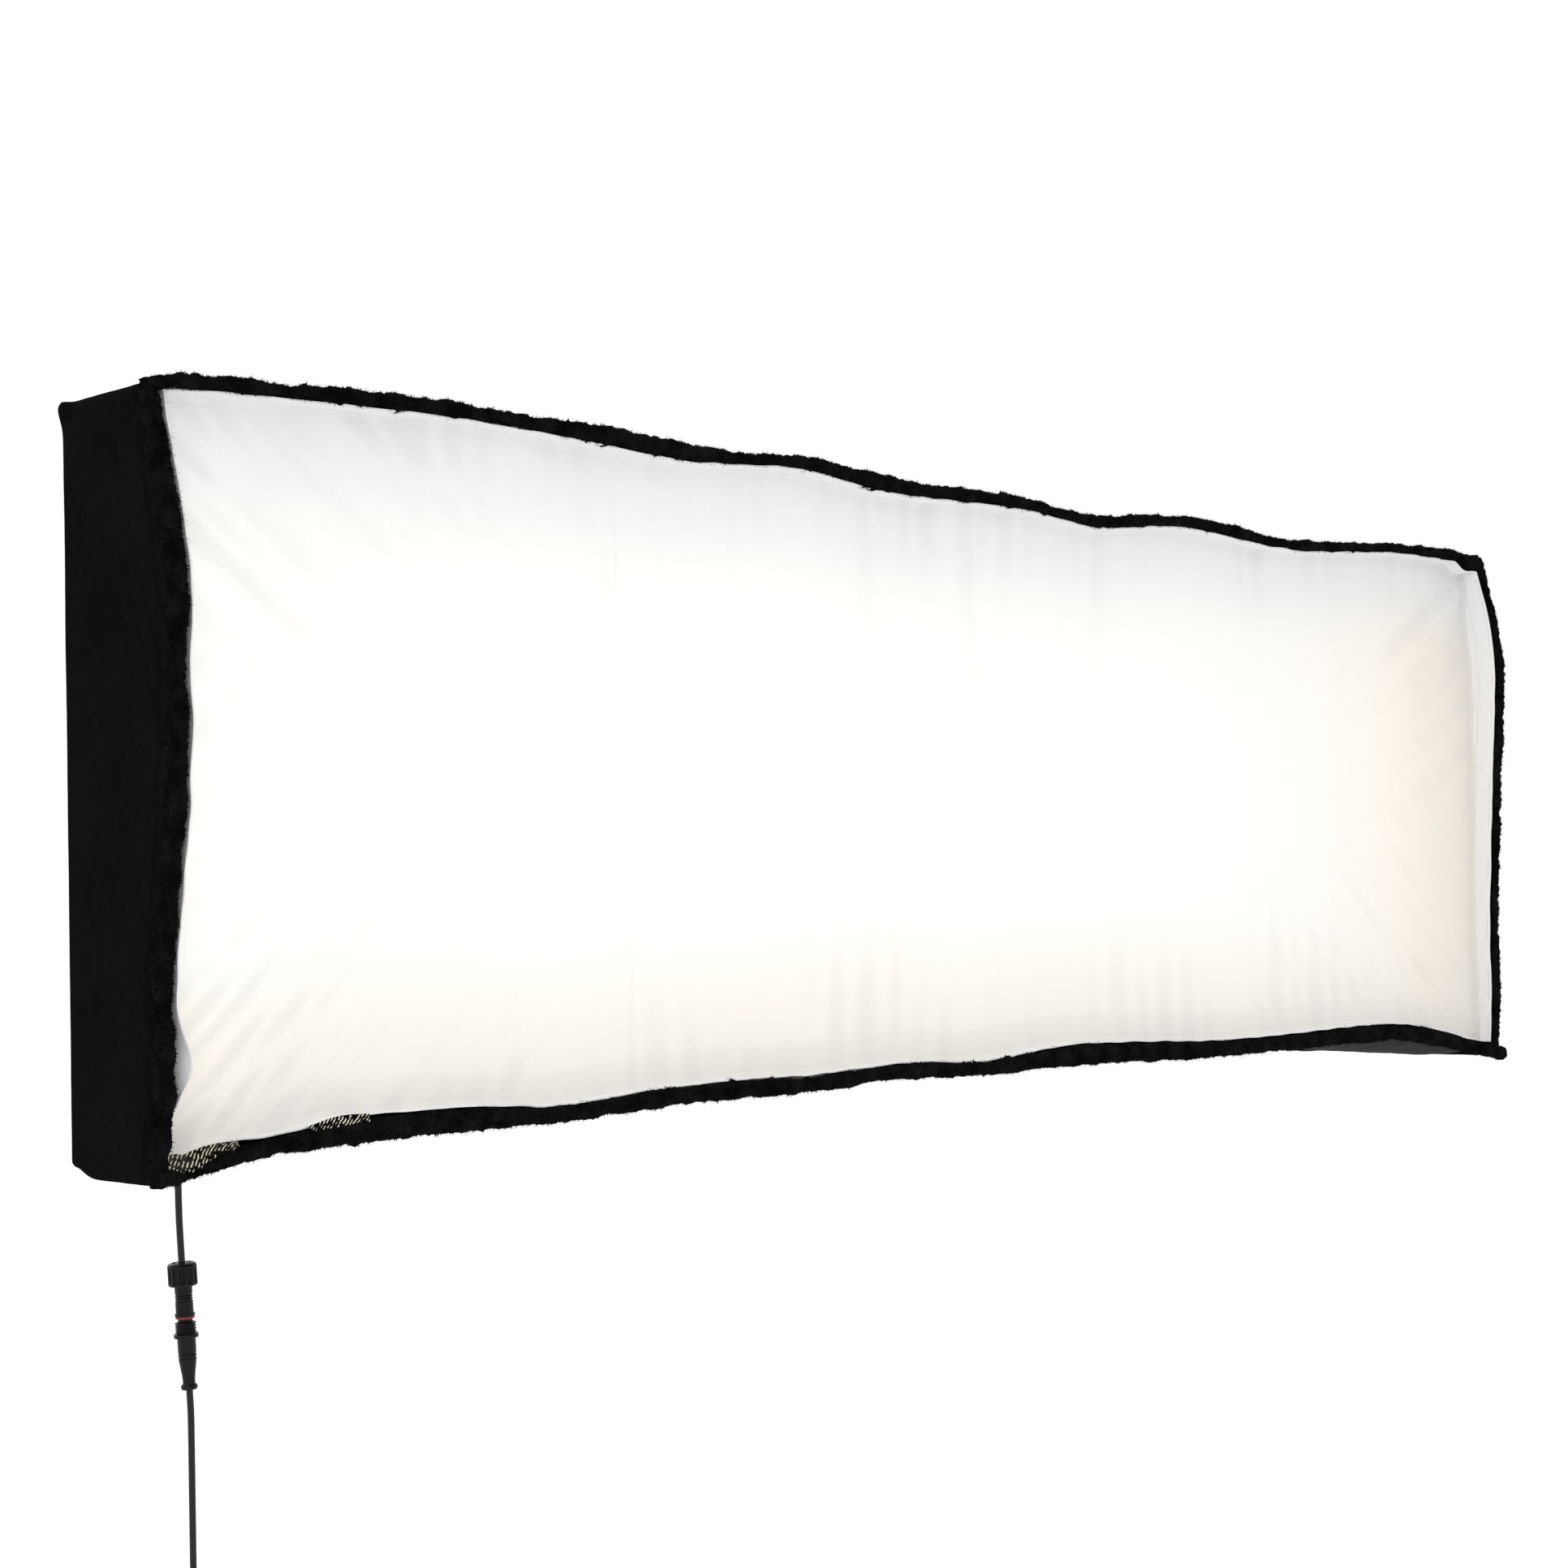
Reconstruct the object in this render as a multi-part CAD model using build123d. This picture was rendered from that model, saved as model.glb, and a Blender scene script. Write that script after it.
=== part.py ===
"""Strip softbox on a flexible LED mat, held by a 5/8 inch stud socket.

Millimetres, +Z up. The origin is on the stud socket's axis, at its mouth. The box faces -Y.
"""
from build123d import *
import math
import os

# ---- fabric box ----
BOX_W = 1600.0          # outside width of the walls
BOX_H = 540.0           # outside height of the walls
BOX_DEPTH = 127.0       # rear face to front rim
REAR_Y = -45.0          # rear face of the box, in front of the stud's axis
BOX_MID_Z = 250.0       # middle of the box above the socket's mouth
WALL = 2.0              # outer fabric with its backing
LINING = 0.8            # silver lining on the inside
TAPE = 1.5              # velour rim tape
TAPE_LEG = 12.5         # how far the rim tape reaches back from the edge
ARCH = 34.0             # how far the bottom wall lifts in the middle
BULGE = 24.0            # how far the side rims swell forward at mid height
FLANGE = 1.5            # rear flange fabric
FLANGE_LAP = 15.0       # how far the flange laps over the mat's border
STAY_R = 1.5            # corner stay rod
STAY_INSET = 4.0        # stay's axis from the lining, each way
STAY_GAP = 6.0          # stay's end short of the rim

# ---- diffuser ----
CLEAR = 0.3             # gap between parts that move on each other
CLOTH = 2.0
CLOTH_SET_BACK = 25.0   # cloth behind the front rim
EDGE_TAPE = 1.2         # white hook tape on the diffuser's edge
EDGE_TAPE_START = 4.0   # its front edge behind the rim

# ---- LED mat ----
MAT_BORDER = 45.0       # box's outside to the mat's edge, each side
MAT = 3.0
MAT_CORNER_R = 12.0
MAT_COVER = 1.2
HOOK_TAPE = 1.2
HOOK_TAPE_W = 14.0
LED_PITCH = 44.0
LED_MARGIN = 30.0       # clear border round the LEDs
LED_ROW_H = 8.0
LED_T = 0.8

# ---- bracket ----
HUB_W = 96.0
HUB_H = 56.0
HUB_OVER_ARM = 0.55     # hub's faces beyond the arms' faces
HUB_PAD_T = 1.5
HUB_PAD_R = 24.0
PIN_RADIUS = 60.0       # hub centre to hinge pin
PIN_R = 2.5
PIN_FIT = 0.05
LUG_EAR = 5.7           # each side of a hinge slot
LUG_START = 30.0
LUG_END = 67.0
SLOT_START = 50.0
TIP_FROM_SIDE = 95.0    # arm's tip in from the mat's side
TIP_FROM_EDGE = 45.0    # arm's tip in from the mat's top or bottom
ARM_W = 12.0
ARM_T = 9.0
ARM_WALL = 1.2
ARM_PLUG = 30.0         # solid length at the hinge
EYE_R = 6.0
CAP_PLUG_L = 24.6
CAP_WALL = 3.4
PAD_L = 60.0
PAD_W = 20.0

# ---- mount bar and tilt joint ----
BAR_W = 34.0
BAR_T = 6.0
BAR_TOP_OVER = 24.0     # bar's top above the hub's middle
BOLT_R = 2.5
BOLT_HEAD_R = 4.6
BOLT_HEAD_T = 3.0
BOLT_GAP = 0.1
BOLT_GRIP = 9.0         # how deep a bolt sits in the hub or the fork
HUB_BOLT_X = 10.0
HUB_BOLT_Z = 17.0
FORK_BOLT_X = 7.0
PIVOT_Z = 62.0
TONGUE_W = 12.0
TONGUE_R = 12.0
WASHER_T = 1.4
WASHER_R = 11.0
EAR_T = 6.0
EAR_R = 13.0
FORK_GAP = 22.0         # pivot to the underside of the fork's bridge
FORK_BRIDGE = 20.0
FORK_REAR_Y = 12.0
TILT_BOLT_R = 4.0
SHAFT_FIT = 0.05
FLAT_GAP = 0.1          # between flat faces that turn on each other
TILT_HEAD_R = 7.5
TILT_HEAD_T = 5.5

# ---- stud socket ----
STUD_BORE_R = 8.1
STUD_BORE_L = 40.0
SOCKET_WALL = 5.9
SOCKET_ROOF = 6.0
SCREW_Z = 20.0
SCREW_R = 4.0
SCREW_BOSS_R = 9.0
SCREW_BOSS_L = 6.0      # boss beyond the socket's wall
SCREW_DRAWN_BACK = 1.0  # screw's end clear of the bore
KNOB_GAP = 2.0          # clamp handle off its boss
KNOB_HUB_R = 9.0
KNOB_HUB_L = 9.0
KNOB_BAR_L = 50.0
KNOB_BAR_W = 13.0
KNOB_BAR_T = 10.0

# ---- cable, connector and lead ----
CABLE_R = 2.5
CABLE_FROM_SIDE = 43.0  # cable in from the mat's left edge
CABLE_BOX_W = 40.0
CABLE_BOX_H = 36.0
CABLE_BOX_T = 16.0
CABLE_BOX_UP = 11.0     # underside of the cable box above the mat's lower edge
BOOT_L = 22.0
BOOT_TOP_R = 5.6
BOOT_END_R = 3.6
LEAN_DEG = 3.0          # the connector leans a little
CONNECTOR_Z = -88.0     # its top
CONNECTOR_SHIFT = 2.0   # its top beside the cable's exit
PIGTAIL_BEND_Z = -50.0
LEAD_BEND = 19.0        # lead straightens this far below the connector
RING_R = 10.5
RING_L = 16.5
RING_TOP_WALL = 4.0
RING_RIBS = 20
RING_RIB_R = 0.9
UPPER_R = 6.3
UPPER_L = 38.0
UPPER_STOP_R = 7.2
UPPER_STOP_L = 2.0
NOSE_R = 5.2
NOSE_END = 52.0
SEAL_OVER_NOSE = 0.7    # seal's middle line outside the nose
SEAL_SECTION_R = 1.1
SEAL_ROOM = 4.5         # upper half's stop to the lower half's mouth
THREAD_R = 7.5
THREAD_L = 8.3
THREAD_START = 1.8
THREAD_STEP = 2.2
THREAD_DEPTH = 0.6
LOWER_FLANGE_R = 8.8
LOWER_FLANGE_L = 2.8
LOWER_BORE_END = 60.0
LOWER_BODY_R = 6.6
LOWER_TAPER_START = 71.0
LOWER_TAPER_R = 6.2
LOWER_WAIST_R = 3.8
LOWER_END_FLANGE = 87.0
LOWER_END_R = 6.0
LOWER_L = 91.0
CONTACT_R = 0.8
CONTACT_END = 58.0
CONTACT_CIRCLE_R = 2.6
COIL_MEAN_R = 27.5      # middle of its two layers of turns
COIL_TURNS_WIDE = 5
TURN_GAP = 0.2
COIL_Z = -346.0
TAIL_DROP = 48.0
PLUG_R = 5.5
PLUG_L = 30.0
PLUG_BOOT_L = 14.0
PLUG_BARREL_R = 2.75
PLUG_BARREL_L = 10.0
TIE_T = 1.2
TIE_GAP = 0.2
TIE_W = 4.0

# ---- places that follow from the sizes ----
FRONT_Y = REAR_Y - BOX_DEPTH
LOW_Z = BOX_MID_Z - BOX_H / 2
HIGH_Z = BOX_MID_Z + BOX_H / 2
ARCH_R = ((BOX_W / 2) ** 2 + ARCH ** 2) / (2 * ARCH)
ARCH_CENTRE_Z = LOW_Z + ARCH - ARCH_R
BULGE_R = ((BOX_H / 2) ** 2 + BULGE ** 2) / (2 * BULGE)
MAT_W = BOX_W - 2 * MAT_BORDER
MAT_H = BOX_H - 2 * MAT_BORDER
INNER = WALL + LINING + TAPE            # outside face to the rim tape's inner face
EDGE_OUT = INNER + CLEAR                # outside face to the diffuser's edge tape
EDGE_IN = EDGE_OUT + EDGE_TAPE
MAT_FRONT_Y = REAR_Y + HOOK_TAPE
MAT_BACK_Y = MAT_FRONT_Y + MAT
COVER_BACK_Y = MAT_BACK_Y + MAT_COVER
HUB_FRONT_Y = COVER_BACK_Y + HUB_PAD_T
HUB_T = ARM_T + 2 * HUB_OVER_ARM
HUB_BACK_Y = HUB_FRONT_Y + HUB_T
BAR_BACK_Y = HUB_BACK_Y + BAR_T
ARM_Y = (HUB_FRONT_Y + HUB_BACK_Y) / 2
TIP_X = MAT_W / 2 - TIP_FROM_SIDE
TIP_Z = MAT_H / 2 - TIP_FROM_EDGE
ARM_REACH = math.hypot(TIP_X, TIP_Z)
ARM_ANGLE = math.atan2(TIP_Z, TIP_X)
SLOT_W = ARM_W + 2 * CLEAR
LUG_W = SLOT_W + 2 * LUG_EAR
WASHER_X = TONGUE_W / 2 + FLAT_GAP
EAR_X = WASHER_X + WASHER_T
FORK_X = EAR_X + EAR_T
FORK_LOW_Z = PIVOT_Z + FORK_GAP
FORK_TOP_Z = FORK_LOW_Z + FORK_BRIDGE
SOCKET_R = STUD_BORE_R + SOCKET_WALL
SOCKET_H = STUD_BORE_L + SOCKET_ROOF
BOSS_Y = SOCKET_R + SCREW_BOSS_L
CABLE_X = CABLE_FROM_SIDE - MAT_W / 2
CABLE_Y = COVER_BACK_Y + CABLE_BOX_T / 2
CABLE_BOX_Z = BOX_MID_Z - MAT_H / 2 + CABLE_BOX_UP
BOOT_END_Z = CABLE_BOX_Z - BOOT_L
HANG_Z = BOOT_END_Z - CLEAR - CABLE_R   # the lead hangs from this point
RING_BORE_R = UPPER_R + CLEAR
RING_CUP_R = THREAD_R + CLEAR
SEAL_R = NOSE_R + SEAL_OVER_NOSE
LOWER_BORE_R = NOSE_R + CLEAR
LOWER_TOP = UPPER_L + SEAL_ROOM
LOWER_FLANGE_TOP = LOWER_TOP + THREAD_L
LOWER_FLANGE_END = LOWER_FLANGE_TOP + LOWER_FLANGE_L
COIL_OUT_R = COIL_MEAN_R + 2 * CABLE_R
COIL_IN_R = COIL_MEAN_R - 2 * CABLE_R
COIL_W = COIL_TURNS_WIDE * (2 * CABLE_R + TURN_GAP)
ARM_SIDES = {"upper_left": (-1, 1), "upper_right": (1, 1), "lower_left": (-1, -1), "lower_right": (1, -1)}


def save(name, *solids):
    """Write one node: its solids stay separate."""
    flat = [one for shape in solids for one in shape.solids()]
    for one in flat:
        one.label = name
    node = flat[0] if len(flat) == 1 else Compound(label=name, children=flat)
    export_step(node, f"parts/{name}.step")


def block(x, y, z):
    """Box between two limits on each axis."""
    size = (x[1] - x[0], y[1] - y[0], z[1] - z[0])
    return Pos((x[0] + x[1]) / 2, (y[0] + y[1]) / 2, (z[0] + z[1]) / 2) * Box(*size)


def rod_z(radius, low, high, x=0.0, y=0.0):
    return Pos(x, y, (low + high) / 2) * Cylinder(radius, high - low)


def rod_y(radius, front, back, x=0.0, z=0.0):
    return Pos(x, (front + back) / 2, z) * Rot(90, 0, 0) * Cylinder(radius, back - front)


def rod_x(radius, low, high, y=0.0, z=0.0):
    return Pos((low + high) / 2, y, z) * Rot(0, 90, 0) * Cylinder(radius, high - low)


# ---- fabric box ----
def section(inset):
    """The box's outline from the front, brought in by inset, with its arched bottom."""
    outline = Pos(0, BOX_MID_Z) * Rectangle(BOX_W - 2 * inset, BOX_H - 2 * inset)
    return outline - Pos(0, ARCH_CENTRE_Z) * Circle(ARCH_R + inset)


def slab(sketch, front, back):
    """A front-view sketch given depth, from y = front to y = back."""
    facing = Plane((0, back, 0), x_dir=(1, 0, 0), z_dir=(0, -1, 0))
    return extrude(facing * sketch, back - front)


def ring(outer, inner, front, back):
    return slab(section(outer) - section(inner), front, back)


def top_of(shape, inset):
    """What lies between the side walls, above the box's middle."""
    half = BOX_W / 2 - inset
    return shape & block((-half, half), (FRONT_Y * 2, 0), (BOX_MID_Z, HIGH_Z * 2))


def bottom_of(shape, inset):
    half = BOX_W / 2 - inset
    return shape & block((-half, half), (FRONT_Y * 2, 0), (-HIGH_Z, BOX_MID_Z))


def side_wall(sign, outer, inner, front_shift, back, end_inset, back_shift=None):
    """Upright wall as thick as outer to inner, whose front edge swells forward.

    Its rear edge is straight at back, or swells too, back_shift behind the rim. Its ends are
    brought in by end_inset and follow the box's outline.
    """
    depth = back - FRONT_Y + 2 * BULGE
    view = Pos(back - depth / 2, BOX_MID_Z) * Rectangle(depth, BOX_H - 2 * end_inset)
    view &= swollen(front_shift)
    if back_shift is not None:
        view -= swollen(back_shift)
    start = min(sign * (BOX_W / 2 - outer), sign * (BOX_W / 2 - inner))
    wall = extrude(Plane((start, 0, 0), x_dir=(0, 1, 0), z_dir=(1, 0, 0)) * view, inner - outer)
    if end_inset > 0:
        wall &= slab(section(end_inset), FRONT_Y - 2 * BULGE, back)
    return wall


def swollen(shift):
    """Side-view disc whose edge is the swollen rim, moved back by shift."""
    return Pos(FRONT_Y - BULGE + BULGE_R + shift, BOX_MID_Z) * Circle(BULGE_R)


def walls():
    outer = ring(0, WALL, FRONT_Y, REAR_Y)
    save("panel_top", top_of(outer, WALL))
    save("panel_bottom", bottom_of(outer, WALL))
    save("panel_left", side_wall(-1, 0, WALL, 0, REAR_Y, 0))
    save("panel_right", side_wall(1, 0, WALL, 0, REAR_Y, 0))


def silver_lining():
    inside = ring(WALL, WALL + LINING, FRONT_Y, REAR_Y - FLANGE)
    sides = [side_wall(sign, WALL, WALL + LINING, 0, REAR_Y - FLANGE, WALL) for sign in (-1, 1)]
    save("silver_lining", top_of(inside, WALL + LINING), bottom_of(inside, WALL + LINING), *sides)


def rim_tapes():
    """Velour tape folded over each front edge: an outer leg, a web and an inner leg."""
    outer_leg = ring(-TAPE, 0, FRONT_Y, FRONT_Y + TAPE_LEG)
    web = ring(-TAPE, INNER, FRONT_Y - TAPE, FRONT_Y)
    inner_leg = ring(WALL + LINING, INNER, FRONT_Y, FRONT_Y + TAPE_LEG)
    folded = outer_leg + web + inner_leg
    save("rim_tape_top", top_of(folded, INNER))
    save("rim_tape_bottom", bottom_of(folded, INNER))
    for name, sign in (("left", -1), ("right", 1)):
        back = FRONT_Y + TAPE_LEG
        tape = side_wall(sign, -TAPE, INNER, -TAPE, back, -TAPE, back_shift=0)
        tape += side_wall(sign, -TAPE, 0, 0, back, -TAPE, back_shift=TAPE_LEG)
        tape += side_wall(sign, WALL + LINING, INNER, 0, back, WALL + LINING, back_shift=TAPE_LEG)
        save(f"rim_tape_{name}", tape)


def rear_flange():
    hole = Pos(0, BOX_MID_Z) * Rectangle(MAT_W - 2 * FLANGE_LAP, MAT_H - 2 * FLANGE_LAP)
    save("rear_flange", slab(section(WALL) - hole, REAR_Y - FLANGE, REAR_Y))


def corner_stays():
    """Four thin rods in the corner seams, which hold the walls out."""
    x = BOX_W / 2 - WALL - LINING - STAY_INSET
    top = HIGH_Z - WALL - LINING - STAY_INSET
    low = LOW_Z + WALL + LINING + STAY_INSET
    front = FRONT_Y + CLOTH_SET_BACK + CLOTH + STAY_GAP
    back = REAR_Y - FLANGE
    save("corner_stays", *[rod_y(STAY_R, front, back, sx * x, z) for sx in (-1, 1) for z in (low, top)])


# ---- diffuser ----
def diffuser():
    front = FRONT_Y + CLOTH_SET_BACK
    save("diffuser_cloth", slab(section(EDGE_OUT), front, front + CLOTH))
    edge = ring(EDGE_OUT, EDGE_IN, FRONT_Y + EDGE_TAPE_START, front)
    sides = [side_wall(sign, EDGE_OUT, EDGE_IN, EDGE_TAPE_START, front, EDGE_OUT) for sign in (-1, 1)]
    save("diffuser_edge_tape", top_of(edge, EDGE_IN), bottom_of(edge, EDGE_IN), *sides)


# ---- LED mat ----
def led_mat():
    mat = Pos(0, BOX_MID_Z) * RectangleRounded(MAT_W, MAT_H, MAT_CORNER_R)
    save("led_mat", slab(mat, MAT_FRONT_Y, MAT_BACK_Y))
    save("mat_back_cover", slab(mat, MAT_BACK_Y, COVER_BACK_Y))
    count = int((MAT_H - 2 * LED_MARGIN) // LED_PITCH) + 1
    length = (MAT_W - 2 * LED_MARGIN) // LED_PITCH * LED_PITCH
    rows = []
    for row in range(count):
        z = BOX_MID_Z + (row - (count - 1) / 2) * LED_PITCH
        strip = Pos(0, z) * Rectangle(length + LED_ROW_H, LED_ROW_H)
        rows.append(slab(strip, MAT_FRONT_Y - LED_T, MAT_FRONT_Y))
    save("led_rows", *rows)


def flange_hook_tape():
    """Four strips between the flange and the mat's border."""
    half_w = MAT_W / 2
    half_h = MAT_H / 2
    y = (REAR_Y, MAT_FRONT_Y)
    low = BOX_MID_Z - half_h
    high = BOX_MID_Z + half_h
    strips = [block((-half_w, half_w), y, (high - HOOK_TAPE_W, high)),
              block((-half_w, half_w), y, (low, low + HOOK_TAPE_W)),
              block((-half_w, HOOK_TAPE_W - half_w), y, (low + HOOK_TAPE_W, high - HOOK_TAPE_W)),
              block((half_w - HOOK_TAPE_W, half_w), y, (low + HOOK_TAPE_W, high - HOOK_TAPE_W))]
    save("flange_hook_tape", *strips)


# ---- bracket ----
def arm_plane(side):
    """Local X runs out along the arm from its hinge pin, local Z points back, local Y is the pin."""
    sx, sz = ARM_SIDES[side]
    ux = sx * math.cos(ARM_ANGLE)
    uz = sz * math.sin(ARM_ANGLE)
    centre = (PIN_RADIUS * ux, ARM_Y, BOX_MID_Z + PIN_RADIUS * uz)
    return Plane(centre, x_dir=(ux, 0, uz), z_dir=(0, 1, 0)).location


def hub():
    plate = slab(Pos(0, BOX_MID_Z) * RectangleRounded(HUB_W, HUB_H, 8), HUB_FRONT_Y, HUB_BACK_Y)
    pins = []
    for side in ARM_SIDES:
        at = arm_plane(side)
        start = LUG_START - PIN_RADIUS
        end = LUG_END - PIN_RADIUS
        lug = Pos((start + end) / 2, 0, 0) * Box(end - start, LUG_W, HUB_T)
        plate += at * lug
    for side in ARM_SIDES:
        at = arm_plane(side)
        slot_start = SLOT_START - PIN_RADIUS
        slot = Pos(slot_start + PIN_RADIUS / 2, 0, 0) * Box(PIN_RADIUS, SLOT_W, HUB_T * 2)
        plate -= at * slot
        plate -= at * (Rot(90, 0, 0) * Cylinder(PIN_R, LUG_W * 2))
        pins.append(at * (Rot(90, 0, 0) * Cylinder(PIN_R, LUG_W)))
    for x, z in hub_bolt_places():
        plate -= rod_y(BOLT_R + BOLT_GAP, HUB_BACK_Y - BOLT_GRIP, HUB_BACK_Y, x, z)
    save("hub_plate", plate)
    save("arm_pins", *pins)
    pad = Pos(0, BOX_MID_Z) * Circle(HUB_PAD_R)
    save("hub_hook_pad", slab(pad, COVER_BACK_Y, HUB_FRONT_Y))


def hub_bolt_places():
    return [(x, BOX_MID_Z + z) for x in (-HUB_BOLT_X, HUB_BOLT_X) for z in (-HUB_BOLT_Z, HUB_BOLT_Z)]


def fork_bolt_places():
    return [(x, FORK_LOW_Z + FORK_BRIDGE / 2) for x in (-FORK_BOLT_X, FORK_BOLT_X)]


def arm(side):
    """A flat tube with an eye at the hinge, a cap on its tip and a hook pad under the tip."""
    at = arm_plane(side)
    length = ARM_REACH - PIN_RADIUS
    bar = Pos(length / 2, 0, 0) * Box(length, ARM_W, ARM_T)
    bar = fillet(bar.edges().filter_by(Axis.X), 1.5)
    bar += Rot(90, 0, 0) * Cylinder(EYE_R, ARM_W)
    bar -= Rot(90, 0, 0) * Cylinder(PIN_R + PIN_FIT, ARM_W * 2)
    hollow = length - ARM_PLUG
    bar -= Pos(ARM_PLUG + hollow / 2, 0, 0) * Box(hollow, ARM_W - 2 * ARM_WALL, ARM_T - 2 * ARM_WALL)
    save(f"arm_{side}", at * bar)
    cap = Pos(length + CAP_WALL / 2, 0, 0) * Box(CAP_WALL, ARM_W, ARM_T)
    cap = fillet(cap.edges().group_by(Axis.X)[-1], 1.2)
    plug = Box(CAP_PLUG_L, ARM_W - 2 * ARM_WALL, ARM_T - 2 * ARM_WALL)
    cap += Pos(length - CAP_PLUG_L / 2, 0, 0) * plug
    save(f"arm_tip_{side}", at * cap)
    pad_t = ARM_Y - ARM_T / 2 - COVER_BACK_Y - CLEAR
    pad = Pos(length - PAD_L / 2, 0, -ARM_T / 2 - pad_t / 2) * Box(PAD_L, PAD_W, pad_t)
    save(f"arm_pad_{side}", at * fillet(pad.edges().filter_by(Axis.Z), 4))


# ---- mount bar and tilt joint ----
def mount_bar():
    low = FORK_LOW_Z
    high = BOX_MID_Z + BAR_TOP_OVER
    outline = Pos(0, (low + high) / 2) * RectangleRounded(BAR_W, high - low, 6)
    bar = slab(outline, HUB_BACK_Y, BAR_BACK_Y)
    bar = chamfer(bar.edges().group_by(Axis.Y)[-1], 0.8)
    for x, z in hub_bolt_places() + fork_bolt_places():
        bar -= rod_y(BOLT_R + BOLT_GAP, HUB_BACK_Y - 1, BAR_BACK_Y + 1, x, z)
    save("mount_bar", bar)
    hub_end = HUB_BACK_Y - BOLT_GRIP
    fork_end = BAR_BACK_Y + BOLT_GRIP
    save("hub_bolts", *[bolt(x, z, BAR_BACK_Y, hub_end, 1) for x, z in hub_bolt_places()])
    save("fork_bolts", *[bolt(x, z, HUB_BACK_Y, fork_end, -1) for x, z in fork_bolt_places()])


def bolt(x, z, seat, end, side):
    """Round-headed screw with a hexagon socket; its head stands off the seat towards side."""
    head_end = seat + side * BOLT_HEAD_T
    head = rod_y(BOLT_HEAD_R, min(seat, head_end), max(seat, head_end), x, z)
    rim = head.edges().sort_by(Axis.Y)[-1 if side > 0 else 0]
    head = fillet(rim, 1.2)
    shank = rod_y(BOLT_R, min(seat, end), max(seat, end), x, z)
    facing = Plane((x, head_end, z), z_dir=(0, -side, 0))
    socket = extrude(facing * RegularPolygon(1.7, 6), BOLT_HEAD_T * 0.6)
    return head + shank - socket


def tilt_fork():
    ears = []
    for sign in (-1, 1):
        x = sorted((sign * EAR_X, sign * FORK_X))
        ears.append(block(x, (-EAR_R, EAR_R), (PIVOT_Z, FORK_LOW_Z)) + rod_x(EAR_R, *x, z=PIVOT_Z))
    bridge = block((-FORK_X, FORK_X), (BAR_BACK_Y, FORK_REAR_Y), (FORK_LOW_Z, FORK_TOP_Z))
    bridge = fillet(bridge.edges().group_by(Axis.Y)[-1], 3)
    fork = bridge + ears[0] + ears[1]
    fork -= rod_x(TILT_BOLT_R + SHAFT_FIT, -FORK_X - 1, FORK_X + 1, z=PIVOT_Z)
    for x, z in fork_bolt_places():
        fork -= rod_y(BOLT_R + BOLT_GAP, BAR_BACK_Y - 1, BAR_BACK_Y + BOLT_GRIP, x, z)
    save("tilt_fork", fork)
    washers = []
    for sign in (-1, 1):
        x = sorted((sign * WASHER_X, sign * EAR_X))
        washers.append(rod_x(WASHER_R, *x, z=PIVOT_Z) - rod_x(TILT_BOLT_R + SHAFT_FIT, *x, z=PIVOT_Z))
    save("friction_washers", *washers)


def knob(shaft_r):
    """T-handle: hub along local +Z from z = 0, with a crossbar on its end and a bore for its shaft."""
    hub_part = Pos(0, 0, KNOB_HUB_L / 2) * Cylinder(KNOB_HUB_R, KNOB_HUB_L)
    bar = Pos(0, 0, KNOB_HUB_L + KNOB_BAR_T / 2) * Box(KNOB_BAR_L, KNOB_BAR_W, KNOB_BAR_T)
    bar = fillet(bar.edges().filter_by(Axis.Z), KNOB_BAR_W * 0.45)
    bar = fillet(bar.edges().group_by(Axis.Z)[-1], 2.5)
    return hub_part + bar - Pos(0, 0, KNOB_HUB_L / 2) * Cylinder(shaft_r + SHAFT_FIT, KNOB_HUB_L)


def tilt_lock():
    """Bolt through the fork and the tongue, with its T-handle on the right."""
    start = FORK_X + CLEAR
    shaft = rod_x(TILT_BOLT_R, -start, start + KNOB_HUB_L, z=PIVOT_Z)
    hexagon = Plane((-start, 0, PIVOT_Z), z_dir=(-1, 0, 0)) * RegularPolygon(TILT_HEAD_R, 6)
    save("tilt_bolt", shaft + extrude(hexagon, TILT_HEAD_T))
    save("tilt_handle", Pos(start, 0, PIVOT_Z) * Rot(0, 90, 0) * knob(TILT_BOLT_R))


# ---- stud socket, the root ----
def stud_socket():
    body = rod_z(SOCKET_R, 0, SOCKET_H)
    body = fillet(body.edges().group_by(Axis.Z)[-1], 2)
    body = chamfer(body.edges().filter_by(GeomType.CIRCLE).group_by(Axis.Z)[0], 1)
    body += rod_y(SCREW_BOSS_R, 0, BOSS_Y, z=SCREW_Z)
    body += block((-TONGUE_W / 2, TONGUE_W / 2), (-TONGUE_R, TONGUE_R), (STUD_BORE_L + 2, PIVOT_Z))
    body += rod_x(TONGUE_R, -TONGUE_W / 2, TONGUE_W / 2, z=PIVOT_Z)
    body -= rod_z(STUD_BORE_R, -1, STUD_BORE_L)
    body -= rod_x(TILT_BOLT_R + SHAFT_FIT, -TONGUE_W, TONGUE_W, z=PIVOT_Z)
    body -= rod_y(SCREW_R + SHAFT_FIT, 0, BOSS_Y + 1, z=SCREW_Z)
    save("stud_socket", body)


def stud_clamp():
    """Clamp screw from behind, drawn back clear of the bore, with its T-handle."""
    knob_y = BOSS_Y + KNOB_GAP
    save("clamp_screw", rod_y(SCREW_R, STUD_BORE_R + SCREW_DRAWN_BACK, knob_y + KNOB_HUB_L, z=SCREW_Z))
    save("clamp_handle", Pos(0, knob_y, SCREW_Z) * Rot(-90, 0, 0) * knob(SCREW_R))


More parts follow.
